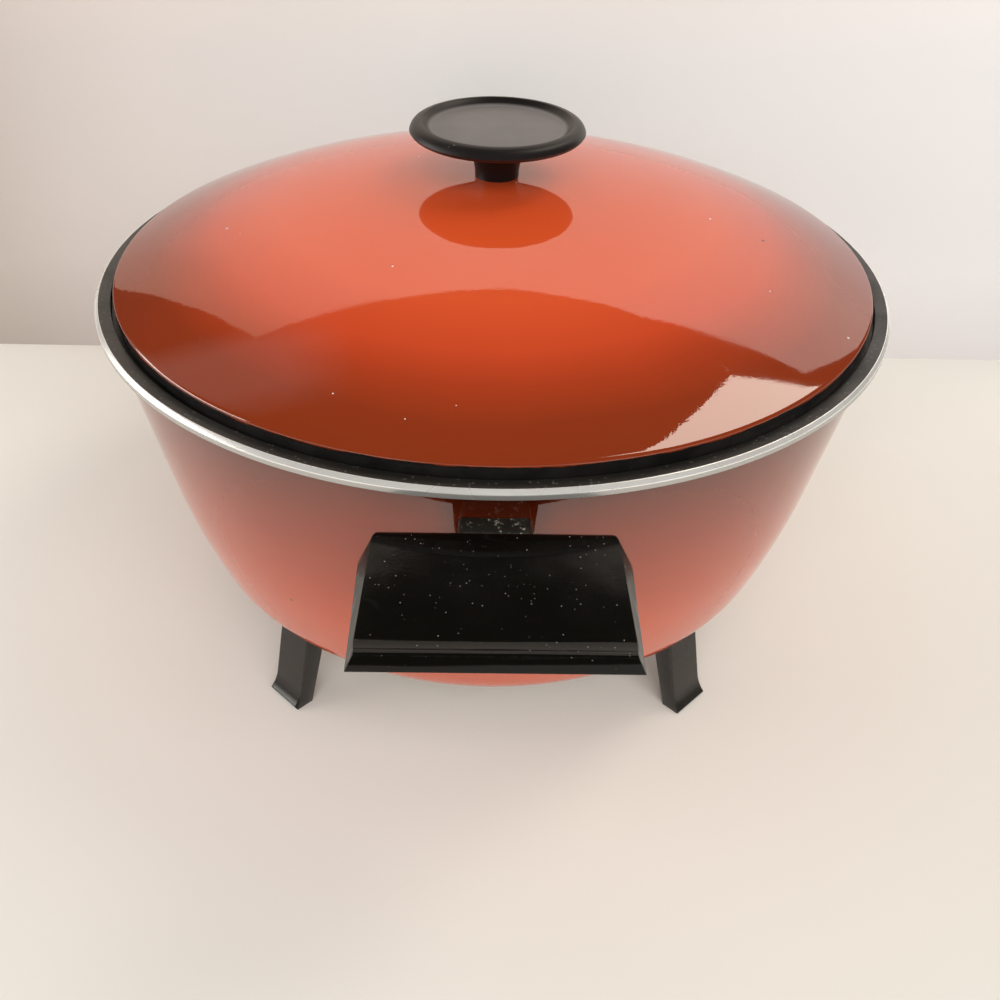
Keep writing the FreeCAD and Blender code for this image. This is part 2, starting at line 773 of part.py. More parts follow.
# Element
def element_path():
    """Centre line: a ring, two bends outwards and two cranks down to the pins."""
    half = pin_spacing / 2
    bend = element_bend_radius
    reach = ring_radius + bend
    centre = V(half + bend, math.sqrt(reach ** 2 - (half + bend) ** 2), 0)
    on_ring = centre * (ring_radius / reach)
    swing = math.atan2(centre.y, centre.x)
    toward = V(-math.cos(swing) - 1, -math.sin(swing), 0)
    on_bend = centre + toward.normalize() * bend
    out = V(half, centre.y, 0)
    crank = math.acos(1 - pin_drop / (2 * bend))
    step_y = bend * math.sin(crank)
    half_y = bend * math.sin(crank / 2)
    half_z = bend * (1 - math.cos(crank / 2))
    knee = out + V(0, step_y, -pin_drop / 2)
    end = out + V(0, 2 * step_y, -pin_drop)
    tail = end + V(0, element_tail_length, 0)
    right = [
        (tail, None, end),
        (end, end + V(0, -half_y, half_z), knee),
        (knee, out + V(0, half_y, -half_z), out),
        (out, on_bend, on_ring),
    ]
    mirror = [(flip(c), flip(b) if b else None, flip(a)) for a, b, c in reversed(right)]
    ring = [(on_ring, V(0, -ring_radius, 0), flip(on_ring))]
    edges = []
    for a, b, c in right + ring + mirror:
        edges.append(arc(a, b, c) if b else line(a, c))
    wire = Part.Wire(edges)
    wire.translate(V(0, 0, ridge_z))
    return wire, tail + V(0, 0, ridge_z)


element_wire, element_tail = element_path()
pin_start = element_tail.y + bead_length
probe_block_start = ring_radius - probe_block_reach
probe_block_end = element_tail.y - probe_block_setback
probe_tube_start = probe_block_start + probe_tube_setback
probe_tube_end = pin_start + probe_tube_cover
guard_start = element_tail.y - guard_overlap
guard_end = pin_start + pin_length + guard_cover


def heating_element():
    """Steel sheath, bored at each end for the tail of a pin."""
    profile = Part.Wire(Part.Circle(element_tail, TO_BACK, sheath_radius).toShape())
    sheath = element_wire.makePipeShell([profile], True, False)
    depth = V(0, pin_tail_length - bead_length, 0)
    radius = pin_tail_radius + thread_clearance
    return sheath.cut([rod(radius, p - depth, p) for p in (element_tail, flip(element_tail))])


def pin_bead(p):
    """Ceramic bead that closes the end of the sheath."""
    bead = rod(bead_radius, p, p + V(0, bead_length, 0))
    return bead.cut(rod(pin_tail_radius + thread_clearance, p, p + V(0, bead_length, 0)))


def plug_pin(p):
    """Plug pin with a tapered tip and a thin tail inside the sheath."""
    start = p + V(0, bead_length, 0)
    shoulder = start + V(0, pin_length - pin_tip_length, 0)
    tip = Part.makeCone(pin_radius, pin_tip_radius, pin_tip_length, shoulder, TO_BACK)
    tail = rod(pin_tail_radius, start - V(0, pin_tail_length, 0), start)
    return rod(pin_radius, start, shoulder).fuse([tip, tail])


def probe_tube():
    """Closed tube that takes the heat control's probe."""
    end = V(0, probe_tube_end, pin_z)
    outer = rod(probe_bore_radius + probe_tube_wall, V(0, probe_tube_start, pin_z), end)
    return outer.cut(rod(probe_bore_radius, V(0, probe_tube_start + probe_tube_wall, pin_z), end))


def terminal_guard():
    """Pressed steel trough under and beside the pins, hung from two ears."""
    half = guard_inside_width / 2
    low = pin_z - guard_inside_drop
    high = guard_ear_z + 2 * guard_bend_radius
    sheet = guard_sheet
    outer = rounded_bar(half + sheet, low - sheet, high, guard_bend_radius, guard_start, guard_end)
    inner = rounded_bar(half, low, high, guard_bend_radius - sheet, guard_start, guard_end)
    above = block(-guard_inside_width, guard_inside_width, guard_start, guard_end, guard_ear_z, high)
    ears = []
    for side in (1, -1):
        x0, x1 = sorted((side * half, side * (half + sheet + guard_ear_width)))
        ear_end = guard_start + guard_ear_length
        ears.append(block(x0, x1, guard_start, ear_end, guard_ear_z - sheet, guard_ear_z))
    radius = guard_screw_radius + hole_clearance
    holes = [rod(radius, p - V(0, 0, sheet), p) for p in guard_screw_places()]
    return outer.cut([inner, above]).fuse(ears).cut(holes)


def guard_screw():
    length = guard_sheet + guard_screw_bite - hole_clearance
    screw = slotted_screw(guard_screw_radius, length, guard_screw_head_radius, guard_screw_head_height)
    screw.translate(V(0, 0, -guard_sheet))
    return screw


os.makedirs("parts", exist_ok=True)

save("bowl", bowl())
save("heating_element", heating_element())
save_group("plug_pins", [plug_pin(element_tail), plug_pin(flip(element_tail))])
save_group("pin_beads", [pin_bead(element_tail), pin_bead(flip(element_tail))])
save("probe_block", probe_block())
save("probe_tube", probe_tube())
save("terminal_guard", terminal_guard())
save_group("guard_screws", [guard_screw().translated(p) for p in guard_screw_places()])

one_leg = leg()
leg_names = ("rear_right", "rear_left", "front_left", "front_right")
for name, angle in zip(leg_names, leg_places()):
    save("leg_" + name, turned(one_leg, angle))
save_group("leg_washers", [turned(leg_washer(), a) for a in leg_places()])
save_group("leg_screws", [turned(leg_screw(), a) for a in leg_places()])

one_grip = grip()
one_bracket = bracket()
for name, angle in (("rear", 0), ("front", 180)):
    save(name + "_handle", turned(one_grip, angle))
    save(name + "_handle_bracket", turned(one_bracket, angle))
save_group("handle_studs", [turned(grip_stud(), a) for a in (0, 180)])
save_group("handle_washers", [turned(grip_washer(), a) for a in (0, 180)])
save_group("handle_screws", [turned(grip_screw(), a) for a in (0, 180)])

save("lid", lid())
save("lid_knob", knob())
save("knob_insert", knob_insert())
save("knob_washer", knob_washer())
save("knob_screw", knob_screw())
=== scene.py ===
import math
import bmesh
import bpy
from mathutils import Matrix, Vector


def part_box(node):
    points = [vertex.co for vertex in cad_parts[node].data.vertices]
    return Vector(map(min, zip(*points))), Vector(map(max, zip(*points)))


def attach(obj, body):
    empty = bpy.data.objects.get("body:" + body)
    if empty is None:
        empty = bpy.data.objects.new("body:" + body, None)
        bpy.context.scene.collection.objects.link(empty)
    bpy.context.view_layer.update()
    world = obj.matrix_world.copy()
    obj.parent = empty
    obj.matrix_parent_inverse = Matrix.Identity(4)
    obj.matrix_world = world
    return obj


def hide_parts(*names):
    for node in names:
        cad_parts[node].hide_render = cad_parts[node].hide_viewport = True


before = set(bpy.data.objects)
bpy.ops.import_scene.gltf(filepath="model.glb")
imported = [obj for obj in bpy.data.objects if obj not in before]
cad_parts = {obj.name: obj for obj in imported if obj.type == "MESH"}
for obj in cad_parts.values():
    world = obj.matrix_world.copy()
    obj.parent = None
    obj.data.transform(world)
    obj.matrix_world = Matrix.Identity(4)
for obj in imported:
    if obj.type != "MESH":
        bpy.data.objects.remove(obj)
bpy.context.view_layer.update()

mm = 0.001


# Bowl: one deep spun aluminium shell. Outside it has orange porcelain enamel that darkens
# towards the top, and inside a charcoal coating that runs over the ledge. The lip is turned
# bright, and the ring for the element and the bosses for the screws are cast under the base.
bowl_low, bowl_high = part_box("bowl")
rim_radius = bowl_high.x
rim_z = bowl_high.z
ridge_z = bowl_low.z
ridge_height = 4.0 * mm
base_z = ridge_z + ridge_height
bowl_wall = 3.0 * mm
wall_angle = math.radians(11.1)
corner_angle = math.radians(19.8)
side_radius = 289.0 * mm
corner_radius = 24.6 * mm
lip_overhang = 3.2 * mm
lip_height = 3.3 * mm
lip_bevel = 1.1 * mm
lip_bevel_drop = 1.2 * mm
ledge_width = 4.8 * mm
seat_depth = 2.6 * mm
seat_width = 5.8 * mm
seat_edge = 3.0 * mm
turned_edge = 0.18 * mm
lip_top_edge = 0.25 * mm
enamel_turn_under = 2.5 * mm
bowl_turns = 360
embedded = 1.0 * mm
leg_boss_inset = 9.6 * mm
ring_inset = 26.6 * mm
leg_angles = [math.radians(45 + 90 * i) for i in range(4)]

seat_z = rim_z - seat_depth
lip_under_z = rim_z - lip_height
wall_top_radius = rim_radius - lip_overhang
groove_radius = rim_radius - lip_bevel - ledge_width
seat_radius = groove_radius - seat_width
slope = math.tan(wall_angle)
bend = side_radius * (math.sin(corner_angle) - math.sin(wall_angle))
side_end_z = base_z + corner_radius * (1 - math.sin(corner_angle)) + bend
side_end_radius = wall_top_radius - (rim_z - side_end_z) * slope
side_out = Vector((math.cos(wall_angle), -math.sin(wall_angle)))
corner_out = Vector((math.cos(corner_angle), -math.sin(corner_angle)))
side_centre = Vector((side_end_radius, side_end_z)) - side_out * side_radius
corner_centre = side_centre + corner_out * (side_radius - corner_radius)
base_radius = corner_centre.x
leg_boss_circle = base_radius - leg_boss_inset
ring_radius = base_radius - ring_inset


def arc_points(centre, radius, start, end, steps):
    """Points of a profile along an arc, its angles measured up from straight out."""
    points = []
    for i in range(steps + 1):
        angle = start + (end - start) * i / steps
        points.append((centre[0] + radius * math.cos(angle), centre[1] + radius * math.sin(angle)))
    return points


def eased(points, ease, steps=3):
    """A profile's path with each inner corner rounded off."""
    path = [points[0]]
    for before, corner, after in zip(points, points[1:], points[2:]):
        here = Vector(corner)
        back = Vector(before) - here
        on = Vector(after) - here
        start = here + back.normalized() * min(ease, back.length / 2)
        end = here + on.normalized() * min(ease, on.length / 2)
        for i in range(steps + 1):
            t = i / steps
            path.append(tuple(start * (1 - t) ** 2 + here * 2 * t * (1 - t) + end * t ** 2))
    return path + [points[-1]]


def turn(shape, bands, turns, start=0.0, end=2 * math.pi):
    """Turns bands of a profile about the upright axis, each band with its material's number."""
    whole = end - start > 6.28
    columns = turns if whole else turns + 1
    rings = {}

    def ring(point):
        key = (round(point[0], 7), round(point[1], 7))
        if key in rings:
            return rings[key]
        if key[0] < 1e-7:
            rings[key] = [shape.verts.new((0, 0, point[1]))] * columns
            return rings[key]
        made = []
        for i in range(columns):
            angle = start + (end - start) * i / turns
            made.append(shape.verts.new((point[0] * math.cos(angle), point[0] * math.sin(angle), point[1])))
        rings[key] = made
        return made

    for number, points in bands:
        for low, high in zip(points, points[1:]):
            one, other = ring(low), ring(high)
            if one is other:
                continue
            for i in range(turns):
                j = (i + 1) % columns
                corners = list(dict.fromkeys((one[i], one[j], other[j], other[i])))
                if len(corners) > 2:
                    shape.faces.new(corners).material_index = number
    if not whole:
        outline = [p for _, points in bands for p in points[:-1]]
        for column in (0, -1):
            shape.faces.new([ring(p)[column] for p in outline])


def smooth(mesh, crease=35):
    """Smooth shading with creases kept where faces meet more sharply than this many degrees."""
    mesh.polygons.foreach_set("use_smooth", [True] * len(mesh.polygons))
    mesh.set_sharp_from_angle(angle=math.radians(crease))


def to_piece(name, shape, materials, crease=35):
    """Makes the finished mesh of a piece, its faces outwards, and adds it to the scene."""
    bmesh.ops.recalc_face_normals(shape, faces=shape.faces)
    mesh = bpy.data.meshes.new(name)
    shape.to_mesh(mesh)
    shape.free()
    for material in materials:
        mesh.materials.append(material)
    smooth(mesh, crease)
    piece = bpy.data.objects.new(name, mesh)
    bpy.context.scene.collection.objects.link(piece)
    return piece


def side_path(inset, steps):
    """The bowl's side from the flat base up to the cone, inset from its outer face."""
    corner = arc_points(corner_centre, corner_radius - inset, -math.pi / 2, -corner_angle, steps)
    return corner + arc_points(side_centre, side_radius - inset, -corner_angle, -wall_angle, steps)[1:]


def cone_radius(z):
    """Outer radius of the bowl's upper wall at a height."""
    return wall_top_radius - (rim_z - z) * slope


lip_path = eased([
    (cone_radius(lip_under_z), lip_under_z),
    (rim_radius, lip_under_z),
    (rim_radius, rim_z - lip_bevel_drop),
    (rim_radius - lip_bevel, rim_z),
    (rim_radius - lip_bevel - lip_top_edge, rim_z),
], turned_edge)
inner_wall = cone_radius(0) - bowl_wall / math.cos(wall_angle)
seat_under_z = seat_z - seat_edge
seat_foot_z = (seat_radius + seat_under_z - inner_wall) / (1 + slope)
coating_path = eased([
    lip_path[-1],
    (groove_radius, rim_z),
    (groove_radius, seat_z),
    (seat_radius, seat_z),
    (seat_radius, seat_under_z),
    (seat_radius + seat_under_z - seat_foot_z, seat_foot_z),
], turned_edge) + side_path(bowl_wall, 14)[::-1] + [(0, base_z + bowl_wall)]
enamel_edge = (base_radius - enamel_turn_under, base_z)
under_path = [(0, base_z), enamel_edge]
outside_path = [enamel_edge] + side_path(0, 24) + [lip_path[0]]


def node(tree, kind, inputs=None, **settings):
    """Adds a node with its settings, its input values and the links into it."""
    made = tree.nodes.new(kind)
    for name, value in settings.items():
        setattr(made, name, value)
    for key, value in (inputs or {}).items():
        if isinstance(value, bpy.types.NodeSocket):
            tree.links.new(value, made.inputs[key])
        else:
            made.inputs[key].default_value = value
    return made


def maths(tree, operation, a, b=0.0):
    return node(tree, "ShaderNodeMath", {0: a, 1: b}, operation=operation).outputs[0]


def times(tree, a, b):
    return maths(tree, "MULTIPLY", a, b)


def plus(tree, a, b):
    return maths(tree, "ADD", a, b)


def minus(tree, a, b):
    return maths(tree, "SUBTRACT", a, b)


def span(tree, value, low, high, start=0.0, end=1.0):
    """Maps a value from one range to another and stops at its ends."""
    settings = {"Value": value, "From Min": low, "From Max": high, "To Min": start, "To Max": end}
    return node(tree, "ShaderNodeMapRange", settings).outputs[0]


def tinted(tree, share, first, second):
    """Mix of two colours, by the share of the second."""
    return node(tree, "ShaderNodeMix", {0: share, 6: first, 7: second}, data_type="RGBA").outputs[2]


def clouds(tree, place, scale, detail=2.0, rough=0.5):
    """Cloudy noise from 0 to 1."""
    settings = {"Vector": place, "Scale": scale, "Detail": detail, "Roughness": rough}
    return node(tree, "ShaderNodeTexNoise", settings).outputs[0]


def scattered(tree, place, scale):
    """Distance to the nearest of many scattered points, and the chances that each point draws."""
    found = node(tree, "ShaderNodeTexVoronoi", {"Vector": place, "Scale": scale}).outputs
    return found["Distance"], node(tree, "ShaderNodeSeparateColor", {0: found["Color"]}).outputs


def object_place(tree):
    return node(tree, "ShaderNodeTexCoord").outputs["Object"]


def split_place(tree):
    """The x, y and z of a point of the surface."""
    return node(tree, "ShaderNodeSeparateXYZ", {0: object_place(tree)}).outputs


def from_axis(tree, place):
    """Distance of a point from the upright axis."""
    flat = node(tree, "ShaderNodeCombineXYZ", {0: place[0], 1: place[1]}).outputs[0]
    return node(tree, "ShaderNodeVectorMath", {0: flat}, operation="LENGTH").outputs["Value"]


def new_group(name, inputs, outputs):
    """Shader node group of plain number sockets: its tree, its inputs and its outputs."""
    tree = bpy.data.node_groups.new(name, "ShaderNodeTree")
    for label, value in inputs.items():
        tree.interface.new_socket(label, in_out="INPUT", socket_type="NodeSocketFloat").default_value = value
    for label in outputs:
        tree.interface.new_socket(label, in_out="OUTPUT", socket_type="NodeSocketFloat")
    return tree, tree.nodes.new("NodeGroupInput").outputs, tree.nodes.new("NodeGroupOutput").inputs


def use(tree, group, **values):
    """Places a group in a material. Underscores in a value's name stand for spaces."""
    inputs = {label.replace("_", " "): value for label, value in values.items()}
    return node(tree, "ShaderNodeGroup", inputs, node_tree=group).outputs


def new_material(name, metallic=0.0, ior=1.5):
    material = bpy.data.materials.new(name)
    material.use_nodes = True
    shader = material.node_tree.nodes["Principled BSDF"]
    shader.inputs["Metallic"].default_value = metallic
    shader.inputs["IOR"].default_value = ior
    return material, material.node_tree, shader


def feed(tree, shader, colour, roughness, height, depth, distance=0.001):
    """Links a material's colour, roughness and bump to its shader."""
    tree.links.new(colour, shader.inputs["Base Color"])
    tree.links.new(roughness, shader.inputs["Roughness"])
    bump = node(tree, "ShaderNodeBump", {"Strength": depth, "Distance": distance, "Height": height})
    tree.links.new(bump.outputs[0], shader.inputs["Normal"])


# fired enamel: a slow ripple, a fine orange peel and a few open pits
skin_inputs = {"Ripple": 60.0, "Peel": 900.0, "Pit Spacing": 90.0, "Pit Size": 0.05}
fired_skin, took, gave = new_group("fired_skin", skin_inputs, ("Height", "Pits"))
tree = fired_skin
place = object_place(tree)
ripple = clouds(tree, place, took["Ripple"], 1.0)
peel = clouds(tree, place, took["Peel"], 1.0)
distance, chance = scattered(tree, place, took["Pit Spacing"])
pit_size = times(tree, maths(tree, "POWER", chance[0], 8.0), took["Pit Size"])
pits = maths(tree, "LESS_THAN", distance, pit_size)
height = plus(tree, ripple, times(tree, peel, 0.06))
tree.links.new(minus(tree, height, times(tree, pits, 0.1)), gave["Height"])
tree.links.new(pits, gave["Pits"])

# rings left by the lathe, which follow the upright axis
lathe_rings, took, gave = new_group("lathe_rings", {"Pitch": 2500.0, "Along": 2.0}, ("Height", "Patches"))
tree = lathe_rings
place = split_place(tree)
across = from_axis(tree, place)
turned_x = times(tree, maths(tree, "DIVIDE", place[0], across), took["Along"])
turned_y = times(tree, maths(tree, "DIVIDE", place[1], across), took["Along"])
level = times(tree, plus(tree, across, place[2]), took["Pitch"])
unrolled = node(tree, "ShaderNodeCombineXYZ", {0: turned_x, 1: turned_y, 2: level}).outputs[0]
tree.links.new(clouds(tree, unrolled, 1.0, 3.0), gave["Height"])
tree.links.new(clouds(tree, object_place(tree), 60.0, 3.0), gave["Patches"])

# dust that has settled on what faces up, in specks of many sizes
dust_inputs = {"Spacing": 300.0, "Size": 0.12, "Share": 0.3}
settled_dust, took, gave = new_group("settled_dust", dust_inputs, ("Specks",))
tree = settled_dust
distance, chance = scattered(tree, object_place(tree), took["Spacing"])
speck_size = times(tree, maths(tree, "POWER", chance[0], 3.0), took["Size"])
specks = maths(tree, "LESS_THAN", distance, speck_size)
kept = maths(tree, "LESS_THAN", chance[1], took["Share"])
normal = node(tree, "ShaderNodeNewGeometry").outputs["Normal"]
upward = span(tree, node(tree, "ShaderNodeSeparateXYZ", {0: normal}).outputs[2], 0.2, 0.6)
tree.links.new(times(tree, times(tree, specks, kept), upward), gave["Specks"])

# years of handling: dull smudges, and fine scratches in patches
hand_inputs = {"Smudge Size": 45.0, "Scratch Size": 160.0}
handling, took, gave = new_group("handling", hand_inputs, ("Smudges", "Scratches"))
tree = handling
place = object_place(tree)
smudges = span(tree, clouds(tree, place, took["Smudge Size"], 3.0, 0.6), 0.48, 0.68)
slant = {"Vector": place, "Rotation": (0.3, 0.5, 0.7), "Scale": (0.12, 1.0, 0.5)}
lines = clouds(tree, node(tree, "ShaderNodeMapping", slant).outputs[0], took["Scratch Size"], 0.0)
thin = span(tree, maths(tree, "ABSOLUTE", minus(tree, lines, 0.5)), 0.002, 0.008, 1.0, 0.0)
where = span(tree, clouds(tree, place, 25.0, 1.0), 0.52, 0.62)
tree.links.new(smudges, gave["Smudges"])
tree.links.new(times(tree, thin, where), gave["Scratches"])

# finish rubbed away on outer edges
edge_rub, took, gave = new_group("edge_rub", {"Width": 0.001, "Grain": 400.0}, ("Rubbed",))
tree = edge_rub
rounded = node(tree, "ShaderNodeBevel", {"Radius": took["Width"]}, samples=4).outputs[0]
plain = node(tree, "ShaderNodeNewGeometry").outputs["Normal"]
agree = node(tree, "ShaderNodeVectorMath", {0: rounded, 1: plain}, operation="DOT_PRODUCT").outputs["Value"]
outer = span(tree, agree, 0.97, 0.8)
broken = span(tree, clouds(tree, object_place(tree), took["Grain"], 4.0, 0.65), 0.42, 0.6)
tree.links.new(times(tree, outer, broken), gave["Rubbed"])

pit_colour = (0.02, 0.008, 0.004, 1)
dust_colour = (0.75, 0.72, 0.68, 1)


def ramp(tree, value, stops):
    """Colours along a value, each stop a place from 0 to 1 and a colour."""
    made = node(tree, "ShaderNodeValToRGB", {0: value})
    while len(made.color_ramp.elements) < len(stops):
        made.color_ramp.elements.new(0.5)
    for element, (where, colour) in zip(made.color_ramp.elements, stops):
        element.position = where
        element.color = colour
    return made.outputs[0]


def enamel_finish(tree, shader, colour):
    """Fired enamel over a ramp's colour: ripple, pits, smudges and dust."""
    skin = use(tree, fired_skin, Ripple=34.0, Peel=700.0, Pit_Spacing=70.0, Pit_Size=0.05)
    hands = use(tree, handling, Smudge_Size=28.0, Scratch_Size=90.0)
    dust = use(tree, settled_dust, Spacing=260.0, Size=0.16, Share=0.05)
    colour = tinted(tree, skin["Pits"], colour, pit_colour)
    colour = tinted(tree, dust["Specks"], colour, dust_colour)
    dull = times(tree, hands["Smudges"], 0.035)
    scored = times(tree, hands["Scratches"], 0.06)
    roughness = plus(tree, plus(tree, dull, scored), 0.03)
    roughness = plus(tree, roughness, times(tree, dust["Specks"], 0.5))
    feed(tree, shader, colour, roughness, skin["Height"], 0.12)


# the enamel darkens towards the lip, and behind the brackets it is darkened further: painted shade where the
# brackets and grips block the light
bowl_enamel, tree, shader = new_material("bowl_enamel", ior=1.85)
place = split_place(tree)
uneven = times(tree, clouds(tree, object_place(tree), 18.0, 3.0), 0.012)
up_side = span(tree, plus(tree, place[2], uneven), base_z, rim_z + 6.0 * mm)
fired = ramp(tree, up_side, [
    (0.0, (0.56, 0.082, 0.022, 1)),
    (0.35, (0.50, 0.066, 0.016, 1)),
    (0.7, (0.27, 0.032, 0.006, 1)),
    (1.0, (0.08, 0.011, 0.002, 1)),
])
# painted shade behind each bracket, in a band below the lip that fades out sideways
painted_bracket_shade = span(tree, maths(tree, "ABSOLUTE", place[0]), 12.0 * mm, 19.0 * mm, 0.72, 0.0)
painted_bracket_shade = times(tree, painted_bracket_shade, span(tree, place[2], rim_z - 26.0 * mm, rim_z - 12.0 * mm))
enamel_finish(tree, shader, tinted(tree, painted_bracket_shade, fired, (0.03, 0.004, 0.001, 1)))

# the lip's bevel is bright, and its upright face is painted darker: painted shade on the same turned metal
lip_metal, tree, shader = new_material("turned_lip", metallic=0.62)
rings = use(tree, lathe_rings, Pitch=3800.0, Along=0.5)
face_top = rim_z - lip_bevel_drop
# painted shade: the upright face below the bevel takes a darker copy of the turned metal's colour
face = span(tree, split_place(tree)[2], face_top - 0.5 * mm, face_top - 0.2 * mm, 1.0, 0.0)
patches = rings["Patches"]
bright = tinted(tree, span(tree, patches, 0.4, 0.65), (1.0, 0.99, 0.96, 1), (0.86, 0.85, 0.82, 1))
colour = tinted(tree, face, bright, (0.46, 0.45, 0.43, 1))
feed(tree, shader, colour, span(tree, patches, 0.35, 0.7, 0.2, 0.34), rings["Height"], 0.05, 0.0002)

# the coating inside is charcoal with pale flecks and fine scratches
coating, tree, shader = new_material("charcoal_coating")
place = object_place(tree)
distance, chance = scattered(tree, place, 900.0)
flecks = times(tree, maths(tree, "LESS_THAN", distance, 0.35), maths(tree, "GREATER_THAN", chance[0], 0.86))
hands = use(tree, handling, Smudge_Size=40.0, Scratch_Size=60.0)
cloudy = span(tree, clouds(tree, place, 30.0, 3.0), 0.3, 0.7)
colour = tinted(tree, cloudy, (0.010, 0.009, 0.008, 1), (0.018, 0.017, 0.015, 1))
colour = tinted(tree, times(tree, flecks, 0.8), colour, (0.09, 0.088, 0.08, 1))
colour = tinted(tree, times(tree, hands["Scratches"], 0.7), colour, (0.12, 0.115, 0.11, 1))
roughness = span(tree, hands["Smudges"], 0, 1, 0.32, 0.5)
feed(tree, shader, colour, roughness, clouds(tree, place, 1400.0, 3.0), 0.3, 0.0003)

# the bare base is dull and scorched along the element
bare_base, tree, shader = new_material("bare_base", metallic=1.0)
rings = use(tree, lathe_rings, Pitch=1200.0, Along=2.0)
patches = rings["Patches"]
off_ring = maths(tree, "ABSOLUTE", minus(tree, from_axis(tree, split_place(tree)), ring_radius))
near_ring = span(tree, off_ring, 4.0 * mm, 22.0 * mm, 1.0, 0.0)
uneven = span(tree, clouds(tree, object_place(tree), 35.0, 4.0), 0.3, 0.7, 0.4, 1.0)
colour = tinted(tree, span(tree, patches, 0.35, 0.7), (0.66, 0.65, 0.63, 1), (0.50, 0.49, 0.47, 1))
colour = tinted(tree, times(tree, near_ring, uneven), colour, (0.26, 0.18, 0.10, 1))
feed(tree, shader, colour, span(tree, patches, 0.3, 0.7, 0.32, 0.5), rings["Height"], 0.35, 0.0003)

bowl_shape = bmesh.new()
turn(bowl_shape, [(3, under_path), (0, outside_path), (1, lip_path), (2, coating_path)], bowl_turns)

# the ring cast under the base, open at the back where the element's ends come out
ridge_half = 6.0 * mm
ridge_ease = 0.5 * mm
groove = 3.6 * mm
gap_half = 25.0 * mm
gap_angle = math.asin(gap_half / ring_radius)
ridge_path = eased([
    (ring_radius + groove, ridge_z),
    (ring_radius + ridge_half, ridge_z),
    (ring_radius + ridge_half, base_z + embedded),
], ridge_ease)
ridge_path += eased([
    (ring_radius - ridge_half, base_z + embedded),
    (ring_radius - ridge_half, ridge_z),
    (ring_radius - groove, ridge_z),
], ridge_ease)
ridge_path += arc_points((ring_radius, ridge_z), groove, math.pi, 0, 12)[1:]
turn(bowl_shape, [(3, ridge_path)], 180, math.pi / 2 + gap_angle, math.pi * 2.5 - gap_angle)


def boss(shape, x, y, radius, low):
    """Round cast boss under the base, with its lower edge eased."""
    part = bmesh.new()
    top = base_z + embedded
    path = eased([(0, low), (radius, low), (radius, top)], 0.4 * mm) + [(0, top)]
    turn(part, [(3, path)], 32)
    bmesh.ops.translate(part, verts=part.verts, vec=(x, y, 0))
    bmesh.ops.recalc_face_normals(part, faces=part.faces)
    holder = bpy.data.meshes.new("boss")
    part.to_mesh(holder)
    part.free()
    shape.from_mesh(holder)
    bpy.data.meshes.remove(holder)


leg_boss_radius, leg_boss_drop = 5.0 * mm, 2.6 * mm
for angle in leg_angles:
    boss_x, boss_y = leg_boss_circle * math.cos(angle), leg_boss_circle * math.sin(angle)
    boss(bowl_shape, boss_x, boss_y, leg_boss_radius, base_z - leg_boss_drop)
guard_low, guard_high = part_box("terminal_guard")
ear_boss_radius, ear_boss_drop, ear_inset = 4.6 * mm, 4.0 * mm, 6.0 * mm
guard_screw_x = guard_high.x - ear_inset
guard_screw_y = guard_low.y + ear_inset
for side in (1, -1):
    boss(bowl_shape, side * guard_screw_x, guard_screw_y, ear_boss_radius, base_z - ear_boss_drop)
bowl = to_piece("bowl_shell", bowl_shape, [bowl_enamel, lip_metal, coating, bare_base])
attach(bowl, "cooker")
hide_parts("bowl")


# Lid: a domed shell of spun aluminium with a skirt that drops inside the lip, where it lies
# loose on the ledge. Orange porcelain enamel covers the dome and stops unevenly on its upright
# edge, where the black coating of the skirt and the inside starts.
lid_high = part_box("lid")[1]
lid_radius = lid_high.x
crown_z = lid_high.z
lid_edge_z = rim_z + 4.3 * mm
lid_thickness = 1.6 * mm
lid_bead = 1.5 * mm
lid_edge_ease = 1.1 * mm
enamel_stop_z = lid_edge_z - 0.9 * mm
skirt_inset = 0.6 * mm
skirt_ease = 0.3 * mm
skirt_thickness = 1.4 * mm
lid_hole = 2.8 * mm
lid_turns = 720
lid_rise = crown_z - lid_edge_z
dome_radius = (lid_radius ** 2 + lid_rise ** 2) / (2 * lid_rise)
dome_centre = crown_z - dome_radius


def dome_z(r, inset=0.0):
    """Height of the dome at a radius, inset from its outer face."""
    return dome_centre + math.sqrt((dome_radius - inset) ** 2 - r ** 2)


def dome_path(start, end, inset, steps):
    """Points of the dome's profile from one radius to another."""
    path = []
    for i in range(steps + 1):
        r = start + (end - start) * i / steps
        path.append((r, dome_z(r, inset)))
    return path


lid_enamel, tree, shader = new_material("lid_enamel", ior=1.85)
place = split_place(tree)
uneven = times(tree, minus(tree, clouds(tree, object_place(tree), 14.0, 3.0), 0.5), 0.012)
out = span(tree, plus(tree, from_axis(tree, place), uneven), 0.0, 0.15)
fired = ramp(tree, out, [
    (0.0, (0.64, 0.080, 0.020, 1)),
    (0.56, (0.62, 0.078, 0.020, 1)),
    (0.70, (0.52, 0.056, 0.014, 1)),
    (0.79, (0.35, 0.038, 0.008, 1)),
    (0.88, (0.23, 0.028, 0.005, 1)),
    (1.0, (0.20, 0.026, 0.004, 1)),
])
ragged = times(tree, minus(tree, clouds(tree, object_place(tree), 75.0, 3.0, 0.6), 0.5), 2.2 * mm)
enamelled = span(tree, plus(tree, place[2], ragged), enamel_stop_z - 0.15 * mm, enamel_stop_z)
enamel_finish(tree, shader, tinted(tree, enamelled, (0.009, 0.008, 0.007, 1), fired))

lid_black, tree, shader = new_material("lid_black")
place = object_place(tree)
cloudy = span(tree, clouds(tree, place, 60.0, 4.0), 0.35, 0.7)
colour = tinted(tree, cloudy, (0.008, 0.007, 0.007, 1), (0.022, 0.02, 0.018, 1))
roughness = span(tree, clouds(tree, place, 90.0, 3.0), 0.3, 0.7, 0.25, 0.45)
feed(tree, shader, colour, roughness, clouds(tree, place, 1100.0, 3.0), 0.3, 0.0003)

